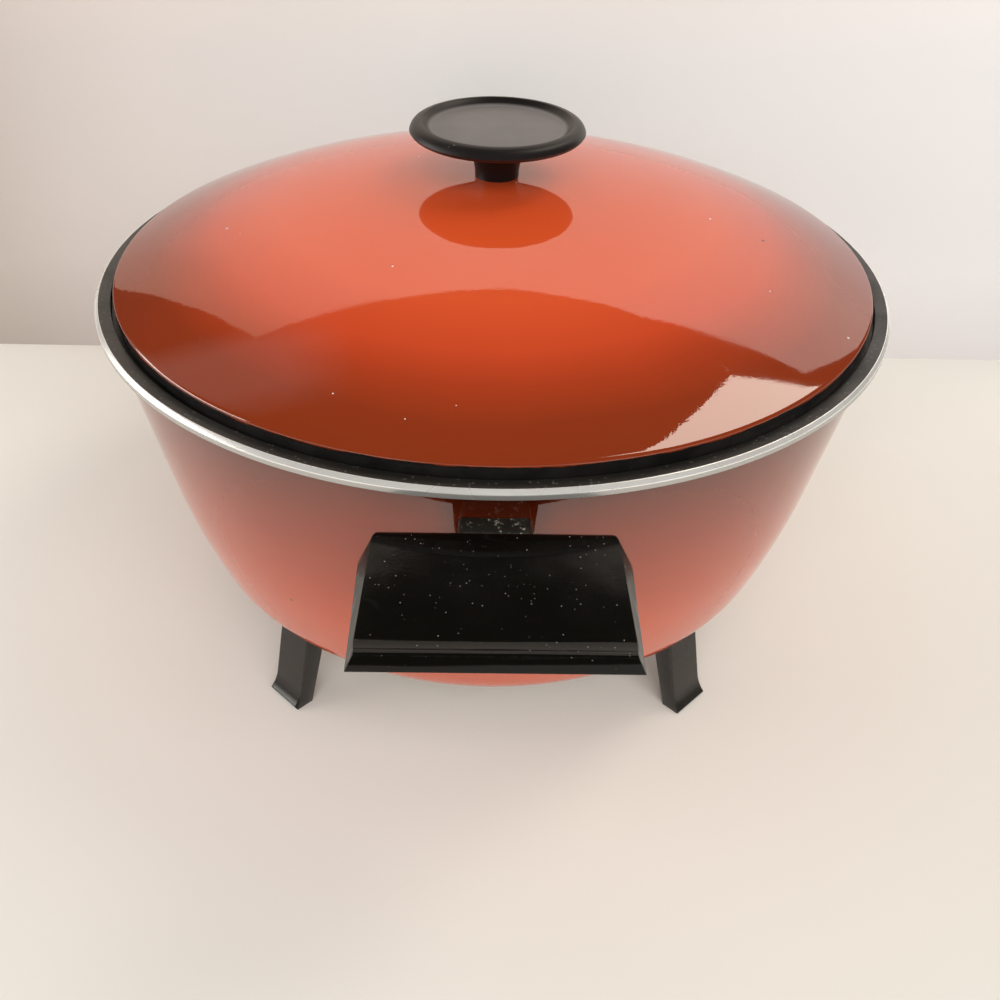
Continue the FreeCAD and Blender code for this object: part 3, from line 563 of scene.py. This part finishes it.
skirt = lid_radius - skirt_inset
skirt_inner = skirt - skirt_thickness
dome_top = dome_path(lid_hole, lid_radius, 0, 48)
rolled = eased([dome_top[-2], dome_top[-1], (lid_radius, lid_edge_z - lid_bead)], lid_edge_ease, 8)
under_edge = eased([
    rolled[-1],
    (skirt, lid_edge_z - lid_bead),
    (skirt, seat_z),
    (skirt_inner, seat_z),
    (skirt_inner, dome_z(skirt_inner, lid_thickness)),
], skirt_ease)
under_dome = dome_path(skirt_inner, lid_hole, lid_thickness, 40)
inside_path = under_edge + under_dome[1:] + [dome_top[0]]
lid_shape = bmesh.new()
turn(lid_shape, [(0, dome_top[:-1] + rolled[1:]), (1, inside_path)], lid_turns)
lid = to_piece("lid_dome", lid_shape, [lid_enamel, lid_black])
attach(lid, "lid_assembly")
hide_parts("lid")


# Lid knob: a black moulded disc with a dished top and rolled rim, on a waisted stem that
# sits on the dome. A screw from under the lid holds it by a brass bush moulded into the stem.
knob_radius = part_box("lid_knob")[1].x
widest_z = crown_z + 17.1 * mm
crest_z = widest_z + 3.2 * mm
crest_radius = 28.2 * mm
dish_radius = 24.8 * mm
dish_z = crest_z - 2.3 * mm
under_z = widest_z - 1.6 * mm
stem_radius = 8.3 * mm
stem_flare = 10.0 * mm
flare_z = crown_z + 8.6 * mm
bush_radius = 4.25 * mm
bush_top = crown_z + 12.0 * mm


def bowed(a, b, bow, steps=8):
    """Arc of a profile off its chord by a share of the chord's length, to the left of its travel."""
    start, end = Vector(a), Vector(b)
    chord = end - start
    across = Vector((-chord.y, chord.x))
    points = []
    for i in range(steps + 1):
        t = i / steps
        points.append(tuple(start + chord * t + across * bow * 4 * t * (1 - t)))
    return points


def black_moulding(name, base, clean_rough, smudged_rough, dust_share, wear, specular):
    """Moulded phenolic: near black, with dull handled patches, rubbed edges and dust."""
    material, tree, shader = new_material(name, ior=1.55)
    shader.inputs["Specular IOR Level"].default_value = specular
    place = object_place(tree)
    hands = use(tree, handling, Smudge_Size=22.0, Scratch_Size=110.0)
    dust = use(tree, settled_dust, Spacing=1100.0, Size=0.2, Share=dust_share)
    rubbed = use(tree, edge_rub, Width=0.8 * mm, Grain=500.0)
    lighter = tuple(c * 1.4 + 0.0005 for c in base) + (1,)
    colour = tinted(tree, times(tree, hands["Smudges"], 0.4), (*base, 1), lighter)
    colour = tinted(tree, times(tree, hands["Scratches"], wear * 0.3), colour, (0.05, 0.048, 0.045, 1))
    colour = tinted(tree, times(tree, rubbed["Rubbed"], wear), colour, (0.07, 0.065, 0.06, 1))
    colour = tinted(tree, times(tree, dust["Specks"], 0.42), colour, dust_colour)
    roughness = span(tree, hands["Smudges"], 0, 1, clean_rough, smudged_rough)
    roughness = plus(tree, roughness, times(tree, dust["Specks"], 0.5))
    height = plus(tree, clouds(tree, place, 70.0, 1.0), times(tree, clouds(tree, place, 900.0, 2.0), 0.05))
    height = minus(tree, height, times(tree, hands["Scratches"], wear * 0.03))
    feed(tree, shader, colour, roughness, height, 0.1)
    return material


knob_black = black_moulding("knob_moulding", (0.008, 0.006, 0.006), clean_rough=0.36, smudged_rough=0.46,
                            dust_share=0.05, wear=0.2, specular=0.3)

# the dished top is painted grey: a painted reflection of the pale backdrop on its satin floor
tree = knob_black.node_tree
shader = tree.nodes["Principled BSDF"]
place = split_place(tree)
dish_sheen_share = span(tree, from_axis(tree, place), dish_radius + 0.4 * mm, dish_radius + 1.5 * mm, 0.9, 0.0)
dish_sheen_share = times(tree, dish_sheen_share, span(tree, place[2], dish_z - 0.8 * mm, dish_z - 0.3 * mm))
mottled = clouds(tree, object_place(tree), 120.0, 3.0)
painted_sheen = tinted(tree, mottled, (0.125, 0.115, 0.114, 1), (0.15, 0.140, 0.139, 1))
black = shader.inputs["Base Color"].links[0].from_socket
tree.links.new(tinted(tree, dish_sheen_share, black, painted_sheen), shader.inputs["Base Color"])

knob_path = [(0, bush_top), (bush_radius, bush_top), (bush_radius, dome_z(bush_radius))]
knob_path += dome_path(bush_radius, stem_radius, 0, 3)[1:]
knob_path += bowed((stem_radius, dome_z(stem_radius)), (stem_flare, flare_z), 0.052)[1:]
shoulder = (stem_flare + 2.2 * mm, flare_z + 1.9 * mm)
under = (knob_radius - 3.6 * mm, under_z)
knob_path += bowed((stem_flare, flare_z), shoulder, 0.155)[1:]
knob_path += [under]
knob_path += bowed(under, (knob_radius, widest_z), -0.195)[1:]
knob_path += bowed((knob_radius, widest_z), (crest_radius, crest_z), -0.195, 12)[1:]
knob_path += bowed((crest_radius, crest_z), (dish_radius, dish_z), 0.045, 10)[1:]
knob_path += [(dish_radius * share, dish_z) for share in (0.97, 0.9, 0.75, 0.5, 0.25)] + [(0, dish_z)]
knob_shape = bmesh.new()
turn(knob_shape, [(0, knob_path)], 256)
knob = to_piece("knob", knob_shape, [knob_black], 50)
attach(knob, "lid_assembly")
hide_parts("lid_knob")


# Grips: two glossy black phenolic mouldings with bevelled sides, a rolled inner edge and an
# upstanding lip, hollow below. Each has a tongue that one screw holds to a stud on the bowl.
def settle(piece, crease):
    """Swaps a piece's mesh for what its modifiers make of it, and takes them off."""
    bpy.context.view_layer.update()
    finished = piece.evaluated_get(bpy.context.evaluated_depsgraph_get())
    made = bpy.data.meshes.new_from_object(finished)
    rough = piece.data
    piece.modifiers.clear()
    piece.data = made
    bpy.data.meshes.remove(rough)
    smooth(made, crease)
    return piece


def eased_copy(name, source, ease, material, sharper=28, segments=2, crease=40):
    """Copy of a CAD node's mesh, its loose triangles merged into faces and its edges eased."""
    shape = bmesh.new()
    shape.from_mesh(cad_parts[source].data)
    bmesh.ops.remove_doubles(shape, verts=shape.verts, dist=0.002 * mm)
    bmesh.ops.dissolve_limit(shape, angle_limit=math.radians(0.6), verts=shape.verts, edges=shape.edges)
    piece = to_piece(name, shape, [material], crease)
    bevel = piece.modifiers.new("ease", "BEVEL")
    bevel.width = ease
    bevel.segments = segments
    bevel.limit_method = "ANGLE"
    bevel.angle_limit = math.radians(sharper)
    bevel.harden_normals = False
    return settle(piece, crease)


grip_black = black_moulding("handle_moulding", (0.003, 0.0027, 0.002), clean_rough=0.08, smudged_rough=0.15,
                            dust_share=0.35, wear=0.25, specular=0.22)
for end in ("rear", "front"):
    grip = eased_copy(end + "_grip", end + "_handle", 0.45 * mm, grip_black)
    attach(grip, "cooker")
    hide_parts(end + "_handle")


# Brackets: two pressed steel cups between the bowl's wall and the grips' tongues, held by the
# grips' screws. Their black paint is chipped and rubbed through to the metal.
bracket_black, tree, shader = new_material("bracket_paint")
place = object_place(tree)
rubbed = use(tree, edge_rub, Width=0.7 * mm, Grain=350.0)
hands = use(tree, handling, Smudge_Size=90.0, Scratch_Size=180.0)
chips = span(tree, clouds(tree, place, 420.0, 4.0, 0.7), 0.60, 0.64)
chips = maths(tree, "MAXIMUM", chips, times(tree, hands["Scratches"], 0.7))
bare = maths(tree, "MAXIMUM", rubbed["Rubbed"], chips)
colour = tinted(tree, hands["Smudges"], (0.016, 0.0155, 0.013, 1), (0.034, 0.032, 0.027, 1))
colour = tinted(tree, times(tree, bare, 0.8), colour, (0.36, 0.34, 0.29, 1))
roughness = span(tree, hands["Smudges"], 0, 1, 0.28, 0.5)
feed(tree, shader, colour, roughness, clouds(tree, place, 600.0, 3.0), 0.25, 0.0004)
for end in ("rear", "front"):
    bracket = eased_copy(end + "_bracket", end + "_handle_bracket", 0.3 * mm, bracket_black)
    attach(bracket, "cooker")
    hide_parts(end + "_handle_bracket")


# Legs: four satin black phenolic mouldings, each a splayed channel with a kicked-out toe. A
# pad inside each takes the washer and the screw that hold it to a boss under the bowl.
leg_black = black_moulding("leg_moulding", (0.018, 0.0165, 0.014), clean_rough=0.26, smudged_rough=0.40,
                           dust_share=0.2, wear=0.5, specular=0.4)
for place_name in ("rear_right", "rear_left", "front_left", "front_right"):
    leg = eased_copy("leg_" + place_name + "_moulding", "leg_" + place_name, 0.4 * mm, leg_black)
    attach(leg, "cooker")
    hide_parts("leg_" + place_name)


# Screws, washers, studs, plug pins and beads: small turned pieces of plated steel, aluminium
# and unglazed ceramic. Each is modelled once along +X from the face it seats on, and one node
# tree sets its copies out on a circle, every slot stopped at an angle of its own.
set_out = bpy.data.node_groups.new("set_out", "GeometryNodeTree")
set_out_labels = {}
for label, kind, value in (
    ("Piece", "NodeSocketGeometry", None),
    ("Count", "NodeSocketInt", 2),
    ("Circle Radius", "NodeSocketFloat", 0.01),
    ("Centre", "NodeSocketVector", (0, 0, 0)),
    ("First Angle", "NodeSocketFloat", 0.0),
    ("Follow Circle", "NodeSocketFloat", 0.0),
    ("Heading", "NodeSocketFloat", 0.0),
    ("Tilt", "NodeSocketFloat", 0.0),
    ("Slot Spread", "NodeSocketFloat", 0.0),
    ("Seed", "NodeSocketInt", 1),
    ("Material", "NodeSocketMaterial", None),
):
    socket = set_out.interface.new_socket(label, in_out="INPUT", socket_type=kind)
    if value is not None:
        socket.default_value = value
    set_out_labels[label] = socket.identifier
set_out.interface.new_socket("Pieces", in_out="OUTPUT", socket_type="NodeSocketGeometry")
took = node(set_out, "NodeGroupInput").outputs
step = maths(set_out, "DIVIDE", 2 * math.pi, took["Count"])
number = node(set_out, "GeometryNodeInputIndex").outputs[0]
angle = plus(set_out, times(set_out, number, step), took["First Angle"])
spot_x = times(set_out, maths(set_out, "COSINE", angle), took["Circle Radius"])
spot_y = times(set_out, maths(set_out, "SINE", angle), took["Circle Radius"])
spot = node(set_out, "ShaderNodeCombineXYZ", {0: spot_x, 1: spot_y}).outputs[0]
spot = node(set_out, "ShaderNodeVectorMath", {0: spot, 1: took["Centre"]}, operation="ADD").outputs[0]
points = node(set_out, "GeometryNodePoints", {"Count": took["Count"], "Position": spot}).outputs[0]
spread_low = times(set_out, took["Slot Spread"], -1.0)
draw = {2: spread_low, 3: took["Slot Spread"], 8: took["Seed"]}
slot_turn = node(set_out, "FunctionNodeRandomValue", draw, data_type="FLOAT").outputs[1]
heading = plus(set_out, times(set_out, angle, took["Follow Circle"]), took["Heading"])
euler = node(set_out, "ShaderNodeCombineXYZ", {0: slot_turn, 1: took["Tilt"], 2: heading}).outputs[0]
faced = node(set_out, "FunctionNodeEulerToRotation", {0: euler}).outputs[0]
laid = {"Points": points, "Instance": took["Piece"], "Rotation": faced}
copies = node(set_out, "GeometryNodeInstanceOnPoints", laid).outputs[0]
real = node(set_out, "GeometryNodeRealizeInstances", {0: copies}).outputs[0]
painted = node(set_out, "GeometryNodeSetMaterial", {"Geometry": real, "Material": took["Material"]}).outputs[0]
node(set_out, "NodeGroupOutput", {"Pieces": painted})


def turned_along(path):
    """A small piece turned along +X, its path given as radius and distance."""
    shape = bmesh.new()
    turn(shape, [(0, path)], 48)
    return shape


def cut_slot(shape, end):
    """Cuts a straight slot, as deep as it is wide, across the low end of a turned head."""
    slot_width = 1.1 * mm
    half, floor = slot_width / 2, end + slot_width
    for place, normal in (((0, half, 0), (0, 1, 0)), ((0, -half, 0), (0, 1, 0)), ((0, 0, floor), (0, 0, 1))):
        whole = shape.verts[:] + shape.edges[:] + shape.faces[:]
        bmesh.ops.bisect_plane(shape, geom=whole, plane_co=place, plane_no=normal, dist=1e-7)
    waste = []
    for face in shape.faces:
        middle = face.calc_center_median()
        if abs(middle.y) < half and middle.z < floor:
            waste.append(face)
    bmesh.ops.delete(shape, geom=waste, context="FACES")
    rim = [v for v in shape.verts if v.is_boundary]
    for axis, height, one, other in ((1, half, 0, 2), (1, -half, 0, 2), (2, floor, 0, 1)):
        side = [v for v in rim if abs(v.co[axis] - height) < 1e-6]
        centre = sum((v.co for v in side), Vector()) / len(side)
        side.sort(key=lambda v: math.atan2(v.co[other] - centre[other], v.co[one] - centre[one]))
        shape.faces.new(side)


def slotted_screw(head_radius, head_height, radius, length):
    """Screw with its head's underside at 0, its shank ahead of it and a slot in its head."""
    chamfer = head_height * 0.45
    point = 0.5 * mm
    head = eased([
        (0, -head_height),
        (head_radius - chamfer, -head_height),
        (head_radius, -head_height + chamfer),
        (head_radius, 0),
        (radius, 0),
    ], 0.15 * mm)
    screw = turned_along(head + [(radius, length - point), (radius - point, length), (0, length)])
    cut_slot(screw, -head_height)
    return screw


def ring_path(inner, outer, thickness, ease):
    """Washer or bead from its seating face at 0 to its thickness."""
    middle = ((inner + outer) / 2, 0)
    return eased([middle, (outer, 0), (outer, thickness), (inner, thickness), (inner, 0), middle], ease)


def place_pieces(name, source, slot, shape, material, **values):
    """Sets out copies of a small piece and makes them one plain mesh on the cooker."""
    bmesh.ops.rotate(shape, verts=shape.verts, matrix=Matrix.Rotation(math.pi / 2, 3, "Y"))
    piece = to_piece(name, shape, [material], 30)
    modifier = piece.modifiers.new("set_out", "NODES")
    modifier.node_group = set_out
    modifier[set_out_labels["Material"]] = material
    for label, value in values.items():
        modifier[set_out_labels[label.replace("_", " ")]] = value
    settle(piece, 30)
    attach(piece, "cooker")
    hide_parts(source)


def worn_finish(name, clean, stained, rubbed_bare, rough, grain, metallic=1.0):
    """Metal, paint or ceramic with cloudy stains, a fine grain and paler rubbed edges."""
    material, tree, shader = new_material(name, metallic)
    place = object_place(tree)
    cloudy = span(tree, clouds(tree, place, 85.0, 4.0, 0.6), 0.4, 0.64)
    rubbed = use(tree, edge_rub, Width=0.4 * mm, Grain=700.0)
    hands = use(tree, handling, Smudge_Size=60.0, Scratch_Size=240.0)
    colour = tinted(tree, cloudy, clean, stained)
    colour = tinted(tree, times(tree, rubbed["Rubbed"], 0.7), colour, rubbed_bare)
    roughness = span(tree, plus(tree, cloudy, hands["Smudges"]), 0, 2, rough, rough + 0.25)
    height = minus(tree, clouds(tree, place, grain, 3.0), times(tree, hands["Scratches"], 0.2))
    feed(tree, shader, colour, roughness, height, 0.3, 0.0002)
    return material


zinc = worn_finish("screw_zinc", (0.60, 0.59, 0.55, 1), (0.34, 0.31, 0.26, 1), (0.78, 0.77, 0.74, 1),
                   rough=0.22, grain=1500.0)
stud_metal = worn_finish("stud_aluminium", (0.58, 0.58, 0.57, 1), (0.42, 0.40, 0.38, 1), (0.72, 0.72, 0.71, 1),
                         rough=0.35, grain=900.0)
pin_plate = worn_finish("pin_metal", (0.76, 0.74, 0.69, 1), (0.46, 0.38, 0.26, 1), (0.82, 0.70, 0.46, 1),
                        rough=0.16, grain=1300.0)
unglazed = worn_finish("bead_ceramic", (0.78, 0.74, 0.66, 1), (0.52, 0.44, 0.34, 1), (0.84, 0.81, 0.75, 1),
                       rough=0.35, grain=500.0, metallic=0.0)
at_back = math.radians(90)
upwards = math.radians(-90)

# what holds the grips: studs bored for the screws, then a washer and a screw on each tongue
screw_low, screw_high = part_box("handle_screws")
screw_z = (screw_low.z + screw_high.z) / 2
stud_radius = 4.6 * mm
stud_bore = 2.45 * mm
stud_end = rim_radius
stud_start = cone_radius(screw_z) - 2.0 * mm
stud_length = stud_end - stud_start
bore_floor = stud_length - 6.5 * mm
head_face = stud_end + 6.0 * mm
grip_thread = 6.2 * mm
stud_path = eased([(0, 0), (stud_radius, 0), (stud_radius, stud_length), (stud_bore, stud_length)], 0.2 * mm)
stud_path += [(stud_bore, bore_floor), (0, bore_floor)]
place_pieces("studs", "handle_studs", "stud_aluminium", turned_along(stud_path), stud_metal,
             Circle_Radius=stud_start, Centre=(0, 0, screw_z), First_Angle=at_back, Follow_Circle=1.0)

washer = ring_path(inner=2.7 * mm, outer=4.8 * mm, thickness=0.9 * mm, ease=0.12 * mm)
place_pieces("grip_washers", "handle_washers", "screw_zinc", turned_along(washer), zinc,
             Circle_Radius=head_face, Centre=(0, 0, screw_z), First_Angle=at_back, Follow_Circle=1.0,
             Heading=math.pi)

screw = slotted_screw(head_radius=4.4 * mm, head_height=2.6 * mm, radius=2.4 * mm,
                      length=head_face - stud_end + grip_thread)
place_pieces("grip_screws", "handle_screws", "screw_zinc", screw, zinc,
             Circle_Radius=head_face, Centre=(0, 0, screw_z), First_Angle=at_back, Follow_Circle=1.0,
             Heading=math.pi, Slot_Spread=1.2, Seed=3)

# what holds the legs: a washer and a screw on each pad, up into a boss
leg_head_z = base_z - 5.8 * mm
leg_screw_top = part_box("leg_screws")[1].z
washer = ring_path(inner=2.3 * mm, outer=4.3 * mm, thickness=0.8 * mm, ease=0.12 * mm)
place_pieces("foot_washers", "leg_washers", "screw_zinc", turned_along(washer), zinc,
             Count=4, Circle_Radius=leg_boss_circle, Centre=(0, 0, leg_head_z),
             First_Angle=leg_angles[0], Tilt=upwards)

screw = slotted_screw(head_radius=3.9 * mm, head_height=2.4 * mm, radius=2.0 * mm,
                      length=leg_screw_top - leg_head_z)
place_pieces("foot_screws", "leg_screws", "screw_zinc", screw, zinc,
             Count=4, Circle_Radius=leg_boss_circle, Centre=(0, 0, leg_head_z),
             First_Angle=leg_angles[0], Tilt=upwards, Slot_Spread=1.5, Seed=8)

# a screw through each ear of the guard
ear_head_z = base_z - 5.5 * mm
screw = slotted_screw(head_radius=3.4 * mm, head_height=2.2 * mm, radius=1.8 * mm, length=5.7 * mm)
place_pieces("ear_screws", "guard_screws", "screw_zinc", screw, zinc,
             Circle_Radius=guard_screw_x, Centre=(0, guard_screw_y, ear_head_z),
             Tilt=upwards, Slot_Spread=1.5, Seed=5)

# the plug pins, whose thin tails run through the beads that close the ends of the sheath
pin_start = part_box("probe_tube")[1].y - 0.9 * mm
pin_z = base_z - 11.0 * mm
pin_half_pitch = 12.7 * mm
pin_radius, pin_straight, pin_length = 2.38 * mm, 15.4 * mm, 17.0 * mm
tail_radius, tail_length = 1.3 * mm, 9.0 * mm
bead_thickness = 4.0 * mm
pin_path = [(0, -tail_length), (tail_radius, -tail_length), (tail_radius, 0)]
pin_path += eased([
    (tail_radius, 0),
    (pin_radius, 0),
    (pin_radius, pin_straight),
    (tail_radius, pin_length),
    (0, pin_length),
], 0.3 * mm)[1:]
place_pieces("pins", "plug_pins", "pin_metal", turned_along(pin_path), pin_plate,
             Circle_Radius=pin_half_pitch, Centre=(0, pin_start, pin_z), Heading=at_back)

bead = ring_path(inner=1.35 * mm, outer=4.4 * mm, thickness=bead_thickness, ease=0.6 * mm)
place_pieces("beads", "pin_beads", "bead_ceramic", turned_along(bead), unglazed,
             Circle_Radius=pin_half_pitch, Centre=(0, pin_start - bead_thickness, pin_z), Heading=at_back)


# Knob fixing: a plain steel washer and a slotted screw under the lid. The screw goes up
# through the dome into the brass bush of the knob.
washer_steel = worn_finish("washer_steel", (0.66, 0.65, 0.62, 1), (0.38, 0.34, 0.29, 1), (0.80, 0.79, 0.77, 1),
                           rough=0.25, grain=1200.0)
plate_radius = 9.0 * mm
plate_thickness = 1.2 * mm
washer_low = dome_z(plate_radius, lid_thickness) - plate_thickness
bolt_top = crown_z + 9.0 * mm
plate = turned_along(ring_path(lid_hole, plate_radius, plate_thickness, ease=0.15 * mm))
bolt = slotted_screw(head_radius=5.4 * mm, head_height=3.0 * mm, radius=2.5 * mm, length=bolt_top - washer_low)
for name, source, shape in (("knob_plate", "knob_washer", plate), ("knob_bolt", "knob_screw", bolt)):
    bmesh.ops.translate(shape, verts=shape.verts, vec=(0, 0, washer_low))
    piece = to_piece(name, shape, [washer_steel], 30)
    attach(piece, "lid_assembly")
    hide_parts(source)


# Guard: a trough of pressed steel in black paint round the plug pins, open at the back. Two
# screws through its ears hold it to bosses under the base.
guard_black = worn_finish("guard_paint", (0.016, 0.016, 0.015, 1), (0.034, 0.031, 0.027, 1),
                          (0.30, 0.27, 0.24, 1), rough=0.32, grain=700.0, metallic=0.0)
guard = eased_copy("guard_trough", "terminal_guard", 0.25 * mm, guard_black)
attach(guard, "cooker")
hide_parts("terminal_guard")


# Element, probe tube and knob bush: a steel-sheathed element pressed into the ring, and the
# tube for the heat control's probe in its aluminium block. Years of heat have browned and
# blued the sheath. They and the knob's brass bush keep the shapes of the solids.
sheath, tree, shader = new_material("sheath_steel", metallic=1.0)
place = object_place(tree)
heat = span(tree, clouds(tree, place, 26.0, 4.0, 0.6), 0.34, 0.68)
colour = ramp(tree, heat, [
    (0.0, (0.10, 0.085, 0.075, 1)),
    (0.4, (0.22, 0.15, 0.10, 1)),
    (0.7, (0.30, 0.22, 0.20, 1)),
    (1.0, (0.16, 0.18, 0.24, 1)),
])
rubbed = use(tree, edge_rub, Width=0.4 * mm, Grain=600.0)
colour = tinted(tree, times(tree, rubbed["Rubbed"], 0.5), colour, (0.45, 0.43, 0.40, 1))
roughness = span(tree, heat, 0, 1, 0.3, 0.5)
feed(tree, shader, colour, roughness, clouds(tree, place, 1000.0, 3.0), 0.3, 0.0002)
block_metal = worn_finish("block_aluminium", (0.58, 0.58, 0.57, 1), (0.36, 0.31, 0.26, 1),
                          (0.70, 0.70, 0.69, 1), rough=0.4, grain=500.0)
tube_steel = worn_finish("tube_steel", (0.54, 0.53, 0.51, 1), (0.34, 0.27, 0.20, 1), (0.68, 0.67, 0.65, 1),
                         rough=0.26, grain=1100.0)
brass = worn_finish("insert_brass", (0.68, 0.50, 0.22, 1), (0.40, 0.27, 0.12, 1), (0.82, 0.66, 0.34, 1),
                    rough=0.24, grain=1200.0)
for source, material in (
    ("heating_element", sheath),
    ("probe_block", block_metal),
    ("probe_tube", tube_steel),
    ("knob_insert", brass),
):
    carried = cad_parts[source]
    carried.data.materials.clear()
    carried.data.materials.append(material)


# Floor and backdrop: a pale painted table, and a pale board behind it with painted light and shade,
# whose outline and painted light are mirrored in the lid. Neither is part of the object.
def stage_sheet(name, corners, material):
    """One flat face from its corners."""
    mesh = bpy.data.meshes.new(name)
    mesh.from_pydata(corners, [], [range(len(corners))])
    mesh.materials.append(material)
    sheet = bpy.data.objects.new(name, mesh)
    bpy.context.scene.collection.objects.link(sheet)


def matt_paint(name, base):
    """Matt paint, a little cloudy and with a faint grain: its material, tree and shader."""
    material, tree, shader = new_material(name)
    shader.inputs["Specular IOR Level"].default_value = 0
    place = object_place(tree)
    darker = tuple(c * 0.96 for c in base) + (1,)
    colour = tinted(tree, clouds(tree, place, 5.0, 3.0), (*base, 1), darker)
    roughness = span(tree, clouds(tree, place, 9.0), 0, 1, 0.85, 0.95)
    feed(tree, shader, colour, roughness, clouds(tree, place, 700.0, 2.0), 0.08, 0.0003)
    return material, tree, shader


def multiplied(tree, first, second):
    """Product of two colours."""
    settings = {0: 1.0, 6: first, 7: second}
    return node(tree, "ShaderNodeMix", settings, data_type="RGBA", blend_type="MULTIPLY").outputs[2]


table_paint = matt_paint("table_paint", (0.79, 0.77, 0.72))[0]
floor_reach = 3.0
floor_corners = [(x * floor_reach, y * floor_reach, 0) for x, y in ((-1, -1), (1, -1), (1, 1), (-1, 1))]
stage_sheet("table", floor_corners, table_paint)

# painted light and shade on the board: darker at its left edge and at its foot, and brighter and warmer high
# up at both sides
board_paint, tree, shader = matt_paint("board_paint", (0.82, 0.81, 0.79))
place = split_place(tree)
painted_shade_across = ramp(tree, span(tree, place[0], -0.345, 0.43), [
    (0.0, (0.56, 0.50, 0.46, 1)),
    (0.07, (0.64, 0.585, 0.55, 1)),
    (0.13, (0.75, 0.70, 0.68, 1)),
    (0.2, (0.84, 0.80, 0.79, 1)),
    (0.4, (1, 1, 1, 1)),
    (1.0, (0.95, 0.95, 0.99, 1)),
])
painted_shade_by_height = ramp(tree, span(tree, place[2], 0.0, 0.6), [
    (0.0, (0.86, 0.84, 0.84, 1)),
    (0.1, (0.96, 0.96, 0.96, 1)),
    (0.3, (0.95, 0.95, 0.96, 1)),
    (0.5, (1, 0.94, 0.88, 1)),
])
# painted light: brighter high up at both outer sides of the board
outer = span(tree, maths(tree, "ABSOLUTE", place[0]), 0.12, 0.33)
painted_light_share = times(tree, outer, span(tree, place[2], 0.18, 0.3))
painted_light = tinted(tree, painted_light_share, (1, 1, 1, 1), (1.2, 1.2, 1.2, 1))
cloudy = shader.inputs["Base Color"].links[0].from_socket
shade = multiplied(tree, multiplied(tree, painted_shade_across, painted_shade_by_height), painted_light)
tree.links.new(multiplied(tree, cloudy, shade), shader.inputs["Base Color"])
behind = node(tree, "ShaderNodeNewGeometry").outputs["Backfacing"]
clear = node(tree, "ShaderNodeBsdfTransparent").outputs[0]
one_sided = node(tree, "ShaderNodeMixShader", {0: behind, 1: shader.outputs[0], 2: clear}).outputs[0]
tree.links.new(one_sided, tree.nodes["Material Output"].inputs["Surface"])
board_y = 0.215
board_outline = [(-0.318, 0), (0.35, 0), (0.488, 0.532), (0.22, 0.594), (0.02, 0.570), (-0.357, 0.587)]
stage_sheet("board", [(x, board_y, z) for x, z in board_outline], board_paint)


# Light: a tall window on the right whose corner shows in the lid, a low one on the left and a
# soft lamp from the front. The room is brighter round its sides than overhead. Glossy pieces
# mirror it as a dim room with one lighter doorway at the back left.
def window_light(name, corner, along, across, width, height, power, colour):
    """A rectangular lamp from one corner along two directions at right angles."""
    side, rise = Vector(along).normalized(), Vector(across).normalized()
    lamp = bpy.data.lights.new(name, "AREA")
    lamp.shape = "RECTANGLE"
    lamp.size = width
    lamp.size_y = height
    lamp.energy = power
    lamp.color = colour
    holder = bpy.data.objects.new(name, lamp)
    bpy.context.scene.collection.objects.link(holder)
    turned = Matrix((side, rise, side.cross(rise))).transposed().to_4x4()
    middle = Vector(corner) + side * width / 2 + rise * height / 2
    holder.matrix_world = Matrix.Translation(middle) @ turned
    return holder


window_light("right_window", corner=(1.151, 0.797, 1.718), along=(-0.584, -0.812, -0.017),
             across=(0.245, -0.131, -0.961), width=1.15, height=0.62, power=10.5, colour=(1, 0.90, 0.76))
window_light("left_window", corner=(-1.0, 0.35, 0.24), along=(0, -1, 0),
             across=(0, 0, 1), width=0.8, height=0.3, power=4.0, colour=(1, 0.95, 0.9))
front = window_light("front_fill", corner=(-0.9, -2.3, 1.2), along=(1, 0, 0),
                     across=(0, 0.65, 0.76), width=3.2, height=1.2, power=50, colour=(1, 0.98, 0.95))
front.visible_glossy = False

world = bpy.data.worlds.new("soft_room")
bpy.context.scene.world = world
world.use_nodes = True
tree = world.node_tree
direction = node(tree, "ShaderNodeTexCoord").outputs["Generated"]
towards = node(tree, "ShaderNodeSeparateXYZ", {0: direction}).outputs
shade = ramp(tree, span(tree, towards[2], 0.0, 0.9), [
    (0.0, (0.78, 0.76, 0.74, 1)),
    (0.5, (0.58, 0.57, 0.56, 1)),
    (1.0, (0.32, 0.31, 0.30, 1)),
])
room = tree.nodes["Background"]
tree.links.new(shade, room.inputs["Color"])
left = span(tree, towards[0], -0.44, -0.3, 1.0, 0.0)
near_jamb = span(tree, towards[1], 0.28, 0.38)
far_jamb = span(tree, towards[1], 0.50, 0.57, 1.0, 0.0)
doorway = times(tree, times(tree, left, near_jamb), far_jamb)
dim = tinted(tree, doorway, (0.06, 0.055, 0.05, 1), (0.36, 0.34, 0.31, 1))
dim_room = node(tree, "ShaderNodeBackground", {"Color": dim}).outputs[0]
mirrored = node(tree, "ShaderNodeLightPath").outputs["Is Glossy Ray"]
seen = node(tree, "ShaderNodeMixShader", {0: mirrored, 1: room.outputs[0], 2: dim_room}).outputs[0]
tree.links.new(seen, tree.nodes["World Output"].inputs["Surface"])


# Camera: the photograph's place and angle, in front and about 37 degrees above, fitted to the
# ellipses of the lip and the lid and to the feet.
camera_data = bpy.data.cameras.new("camera")
camera_data.lens = 39.6
camera_data.sensor_width = 36.0
camera = bpy.data.objects.new("camera", camera_data)
bpy.context.scene.collection.objects.link(camera)
stand = Matrix.Translation((0, -0.4088, 0.3486))
yaw, roll, walked_round = -0.0115, 0.0280, math.radians(-0.7)
tilt = math.pi / 2 - 0.6433
aim = Matrix.Rotation(yaw, 4, "Z") @ Matrix.Rotation(tilt, 4, "X") @ Matrix.Rotation(roll, 4, "Z")
camera.matrix_world = Matrix.Rotation(walked_round, 4, "Z") @ stand @ aim
bpy.context.scene.camera = camera
bpy.context.scene.view_settings.view_transform = "Standard"
